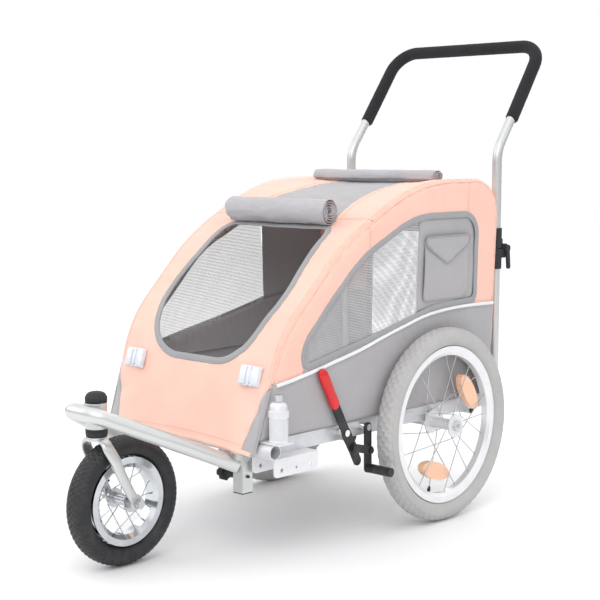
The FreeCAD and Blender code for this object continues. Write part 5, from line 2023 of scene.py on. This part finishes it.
    def build(self) -> None:
        """Builds the whole kit."""
        self.build_yoke()
        self.build_head()
        self.build_fork()
        BENCH.keep("head_tube", ZINC, 0.0008)
        BENCH.keep("head_bearings", BRIGHT, 0.0)
        BENCH.keep("steerer", BRIGHT, 0.0004)
        BENCH.keep("yoke_posts", ZINC, 0.0010)
        BENCH.keep("tube_plugs", BLACK, 0.0006)
        BENCH.keep("front_axle", BRIGHT, 0.0004)
        BENCH.keep("front_axle_caps", BRIGHT, 0.0006)
        for side in Side:
            BENCH.keep(f"yoke_knob_{side.word}", BLACK, 0.0016)


# ------------------------------------------------------------------ floor frame and hitch
@dataclass(frozen=True)
class FloorFrame:
    """Rails, cross tube, bearers, axle ends and the tow hitch with its lock tower."""

    tower_radius: float = 0.0185
    tower_bore: float = 0.0062
    base_high: float = 0.0035
    flutes: int = 22
    flute_depth: float = 0.00045

    def build_lock(self) -> None:
        """Builds the lock tower: a column with a fluted ring and a narrow top, on its base."""
        low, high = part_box("hitch_lock_body")
        pin_low, pin_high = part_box("hitch_plunger")
        axis = np.array(((pin_low.x + pin_high.x) / 2.0, (pin_low.y + pin_high.y) / 2.0, 0.0))
        foot, top = float(low.z) + self.base_high, float(high.z)
        radius, bore = self.tower_radius, self.tower_bore
        profile = array((foot, bore), (foot, radius), (foot + 0.003, radius),
                        (foot + 0.0038, radius - 0.0010), (foot + 0.042, radius - 0.0010),
                        (foot + 0.0425, radius - 0.0022), (foot + 0.0445, radius - 0.0022),
                        (foot + 0.045, radius - 0.0004), (foot + 0.057, radius - 0.0004),
                        (foot + 0.058, radius - 0.0020), (top - 0.006, radius - 0.0026),
                        (top - 0.002, radius - 0.0052), (top, radius - 0.0086), (top, bore))
        ring = (7, 8)

        def relief(turn: np.ndarray, index: np.ndarray) -> np.ndarray:
            """Grip flutes round the tower's ring."""
            flute = self.flute_depth * np.cos(turn * self.flutes)
            return np.where(np.isin(index, ring), flute, 0.0)

        shape = Shape().turned(profile, axis, 2, self.flutes * 6, relief)
        shape.block(tuple(low), (high.x, high.y, foot))
        BENCH.piece("hitch_lock_tower", shape, PALE_STEEL, "chassis", ["hitch_lock_body"],
                    bevel=0.0004, smooth_angle=36.0)

    def build(self) -> None:
        """Builds the tower and dresses the frame's tubes."""
        self.build_lock()
        for node, finish, rounding in (
                ("side_rails", RAIL, 0.0018), ("front_cross_tube", RAIL, 0.0006),
                ("floor_bearers", ZINC, 0.0004), ("rear_axles", ZINC, 0.0004),
                ("hitch_bracket", HITCH_PAINT, 0.0007), ("hitch_plunger", BRIGHT, 0.0006)):
            BENCH.keep(node, finish, rounding)
        for side in Side:
            BENCH.keep(f"axle_button_{side.word}", BRIGHT, 0.0005)


# ------------------------------------------------------------------ brakes
class Brake:
    """One parking brake: red grip and black bars."""

    def __init__(self, side: Side) -> None:
        """Takes the side and measures the grip.

        Args:
            side: Which side.
        """
        self.side = side
        self.body = f"brake_lever_{side.word}"
        self.low, self.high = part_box(f"brake_grip_{side.word}")

    def build_grip(self) -> None:
        """Builds the moulded grip: rounded, waisted and ribbed on its edges."""
        points = points_of(f"brake_grip_{self.side.word}")
        middle = points.mean(axis=0)
        middle[0] = (self.low.x + self.high.x) / 2.0
        spread = points - middle
        _, _, ways = np.linalg.svd(spread[:, 1:], full_matrices=False)
        way = ways[0] if ways[0][1] > 0 else -ways[0]
        along = spread[:, 1:] @ way
        across = spread[:, 1:] @ np.array((-way[1], way[0]))
        start, end = float(along.min()), float(along.max())
        half = float(across.max() - across.min()) / 2.0
        half_x = float(self.high.x - self.low.x) / 2.0
        shares = (1.0 - np.cos(np.linspace(0.0, math.pi, 46))) / 2.0
        reach = (end - start) / 2.0
        centre = middle[1:] + way * (start + end) / 2.0
        path = np.array([(middle[0], *(centre + way * (2.0 * share - 1.0) * (reach - 1e-4)))
                         for share in shares])

        def section(share: float) -> np.ndarray:
            """Section of the grip with a waist, finger ribs and round ends."""
            place = 2.0 * shares[round(share * (len(shares) - 1))] - 1.0
            round_end = max(0.02, (1.0 - abs(place) ** 7.0)) ** 0.5
            waist = 1.0 - 0.10 * math.exp(-((place + 0.25) / 0.35) ** 2)
            rib = 0.00035 * math.cos(place * 46.0) * (abs(place) < 0.7)
            return oval(max(0.0008, half * round_end * waist + rib),
                        max(0.0008, half_x * round_end * (0.94 + 0.06 * waist)), 32, 2.8)

        shape = Shape().sweep(path, section, np.array((1.0, 0.0, 0.0)))
        BENCH.piece(f"brake_handle_{self.side.word}", shape, RED, self.body,
                    [f"brake_grip_{self.side.word}"], smooth_angle=60.0)

    def build(self) -> None:
        """Builds the grip and dresses the bars."""
        self.build_grip()
        BENCH.keep(f"brake_lever_{self.side.word}", BLACK_STEEL, 0.0006)
        BENCH.keep(f"brake_arm_{self.side.word}", BLACK_STEEL, 0.0006)
        BENCH.keep(f"brake_link_{self.side.word}", BLACK_STEEL, 0.0005)


# ------------------------------------------------------------------ push handle
@dataclass(frozen=True)
class PushHandle:
    """The folding push handle with its foam grip."""

    foam_radius: float = 0.014
    end_radius: float = 0.0112
    bend: float = 0.055
    corner_x: float = 0.204

    def build_foam(self) -> None:
        """Builds the foam sleeve over the grip bar and the upper legs."""
        grip = points_of("handle_grip")
        low, high = grip.min(axis=0), grip.max(axis=0)
        radius = self.foam_radius
        top = np.array((high[1] - radius, high[2] - radius))
        foot = grip[grip[:, 2] < low[2] + 0.02]
        side_low = foot[foot[:, 0] > 0]
        start = np.array(((side_low[:, 0].min() + side_low[:, 0].max()) / 2.0,
                          side_low[:, 1].mean(), side_low[:, 2].mean() - 0.004))
        corners = np.array((start, (self.corner_x, *top), (-self.corner_x, *top),
                            (-start[0], start[1], start[2])))
        path = rounded(corners, (self.bend, self.bend), 0.005)
        total = lengths(path)[-1]

        def section(share: float) -> np.ndarray:
            """Section of the foam, softly rounded at both ends."""
            away = min(share, 1.0 - share) * total
            end = math.sqrt(max(0.0, 1.0 - (1.0 - min(1.0, away / 0.004)) ** 2))
            lump = 0.00025 * noise.noise(Vector((share * 60.0, 0.3, 0.0)))
            size = self.end_radius + (radius - self.end_radius) * end + lump
            return oval(size, size, 30)

        shape = Shape().sweep(path, section, np.array((0.0, -0.4, 0.9)), fixed=False)
        foam = BENCH.piece("foam_sleeve", shape, FOAM, "handle", ["handle_grip"], smooth_angle=60.0)

    def build(self) -> None:
        """Builds the foam and dresses the tubes and hinges."""
        self.build_foam()
        BENCH.keep("handle_uprights", ZINC, 0.0004)
        BENCH.keep("handle_tube", ZINC, 0.0004)
        BENCH.keep("hinge_brackets", BLACK, 0.0008)
        BENCH.keep("hinge_tongues", BLACK, 0.0008)
        for side in Side:
            BENCH.keep(f"hinge_cam_{side.word}", BLACK, 0.0008)


# ------------------------------------------------------------------ the room
@dataclass(frozen=True)
class Studio:
    """A pale floor, soft light from above and the camera."""

    camera_at: tuple[float, float, float] = (1.85898, -1.97154, 0.75487)
    azimuth: float = math.radians(43.25)
    elevation: float = math.radians(6.38)
    lens: float = 79.21
    floor_size: float = 9.0
    floor_colour: Colour = display(248, 248, 248)

    def floor(self) -> bpy.types.Object:
        """Makes the pale floor."""
        half = self.floor_size
        shape = [(-half, -half, 0.0), (half, -half, 0.0), (half, half, 0.0), (-half, half, 0.0)]
        data = bpy.data.meshes.new("floor")
        data.from_pydata(shape, [], [(0, 1, 2, 3)])
        made = bpy.data.objects.new("floor", data)
        bpy.context.scene.collection.objects.link(made)
        paint = bpy.data.materials.new("floor_paint")
        paint.use_nodes = True
        shader = paint.node_tree.nodes["Principled BSDF"]
        shader.inputs["Base Color"].default_value = self.floor_colour
        shader.inputs["Roughness"].default_value = 0.75
        data.materials.append(paint)
        return made

    def lamp(self, name: str, at: Vector, aim: Vector, size: float,
             power: float) -> bpy.types.Object:
        """Makes one soft area light.

        Args:
            name: The light's name.
            at: Its place.
            aim: The point that it faces.
            size: Its edge length.
            power: Its power in watts.

        Returns:
            The light.
        """
        light = bpy.data.lights.new(name, "AREA")
        light.shape, light.size, light.energy = "SQUARE", size, power
        made = bpy.data.objects.new(name, light)
        made.location = at
        made.rotation_euler = (aim - at).to_track_quat("-Z", "Y").to_euler()
        bpy.context.scene.collection.objects.link(made)
        return made

    def world(self) -> None:
        """Makes a white room that is brighter above, so that metal shows its form."""
        scene = bpy.context.scene
        scene.view_settings.view_transform = "Standard"
        world = bpy.data.worlds.new("room")
        world.use_nodes = True
        scene.world = world
        tree = Tree(world.node_tree)
        world.node_tree.nodes.clear()
        place = tree.add("ShaderNodeTexCoord")
        split = tree.add("ShaderNodeSeparateXYZ")
        tree.join(place.outputs["Generated"], split.inputs["Vector"])
        ramp = tree.add("ShaderNodeValToRGB")
        tree.join(split.outputs["Z"], ramp.inputs["Fac"])
        stops = ramp.color_ramp.elements
        stops[0].position, stops[0].color = 0.02, (0.16, 0.18, 0.22, 1.0)
        stops[1].position, stops[1].color = 0.9, (1.35, 1.35, 1.36, 1.0)
        for position, level in ((0.16, 0.30), (0.24, 1.25), (0.5, 1.3), (0.62, 0.85)):
            stops.new(position).color = (level, level, level * 1.02, 1.0)
        shine = tree.add("ShaderNodeBackground")
        tree.join(ramp.outputs["Color"], shine.inputs["Color"])
        plain = tree.add("ShaderNodeBackground")
        plain.inputs["Color"].default_value = (1.0, 1.0, 1.0, 1.0)
        ray = tree.add("ShaderNodeLightPath")
        mix = tree.add("ShaderNodeMixShader")
        out = tree.add("ShaderNodeOutputWorld")
        tree.join(ray.outputs["Is Camera Ray"], mix.inputs[0])
        tree.join(shine.outputs[0], mix.inputs[1])
        tree.join(plain.outputs[0], mix.inputs[2])
        tree.join(mix.outputs[0], out.inputs["Surface"])

    def camera(self) -> bpy.types.Object:
        """Places the camera."""
        data = bpy.data.cameras.new("camera")
        data.lens = self.lens
        data.sensor_width = 36.0
        data.clip_end = 60.0
        made = bpy.data.objects.new("camera", data)
        made.location = self.camera_at
        made.rotation_euler = (math.pi / 2.0 - self.elevation, 0.0, self.azimuth)
        bpy.context.scene.collection.objects.link(made)
        bpy.context.scene.camera = made
        return made

    def build(self) -> None:
        """Builds floor, light and camera."""
        middle = Vector((0.0, -0.1, 0.45))
        lamps = [self.lamp("key", Vector((1.6, -2.6, 3.0)), middle, 2.2, 34.0),
                 self.lamp("fill", Vector((-2.8, -1.4, 2.0)), middle, 2.4, 16.0),
                 self.lamp("back", Vector((-1.0, 2.8, 2.6)), middle, 2.4, 18.0)]
        self.floor()
        self.world()
        self.camera()


def main() -> None:
    """Builds every sub-assembly in order."""
    Studio().build()
    FloorFrame().build()
    Cabin().build()
    for side in Side:
        word = side.word
        Wheel(f"rear_tyre_{word}", f"rear_wheel_{word}", GREY_RUBBER, 64, 256).build(
            {f"rear_rim_{word}": SILVER_RIM, f"rear_spokes_{word}": BRIGHT,
             f"rear_hub_{word}": PALE_STEEL, f"rear_reflectors_{word}": AMBER}, valve=250.0)
        Brake(side).build()
    Wheel("front_tyre", "front_wheel", RUBBER, 66, 264, depth=0.0016, lanes=3.4).build(
        {"front_rim": CHROME, "front_spokes": BRIGHT, "front_hub": BRIGHT}, valve=128.0)
    SteeringKit().build()
    PushHandle().build()
    LOG.info("%d pieces: %s", len(BENCH.made), ", ".join(BENCH.made))
    bpy.context.view_layer.update()


if __name__ == "__main__":
    main()
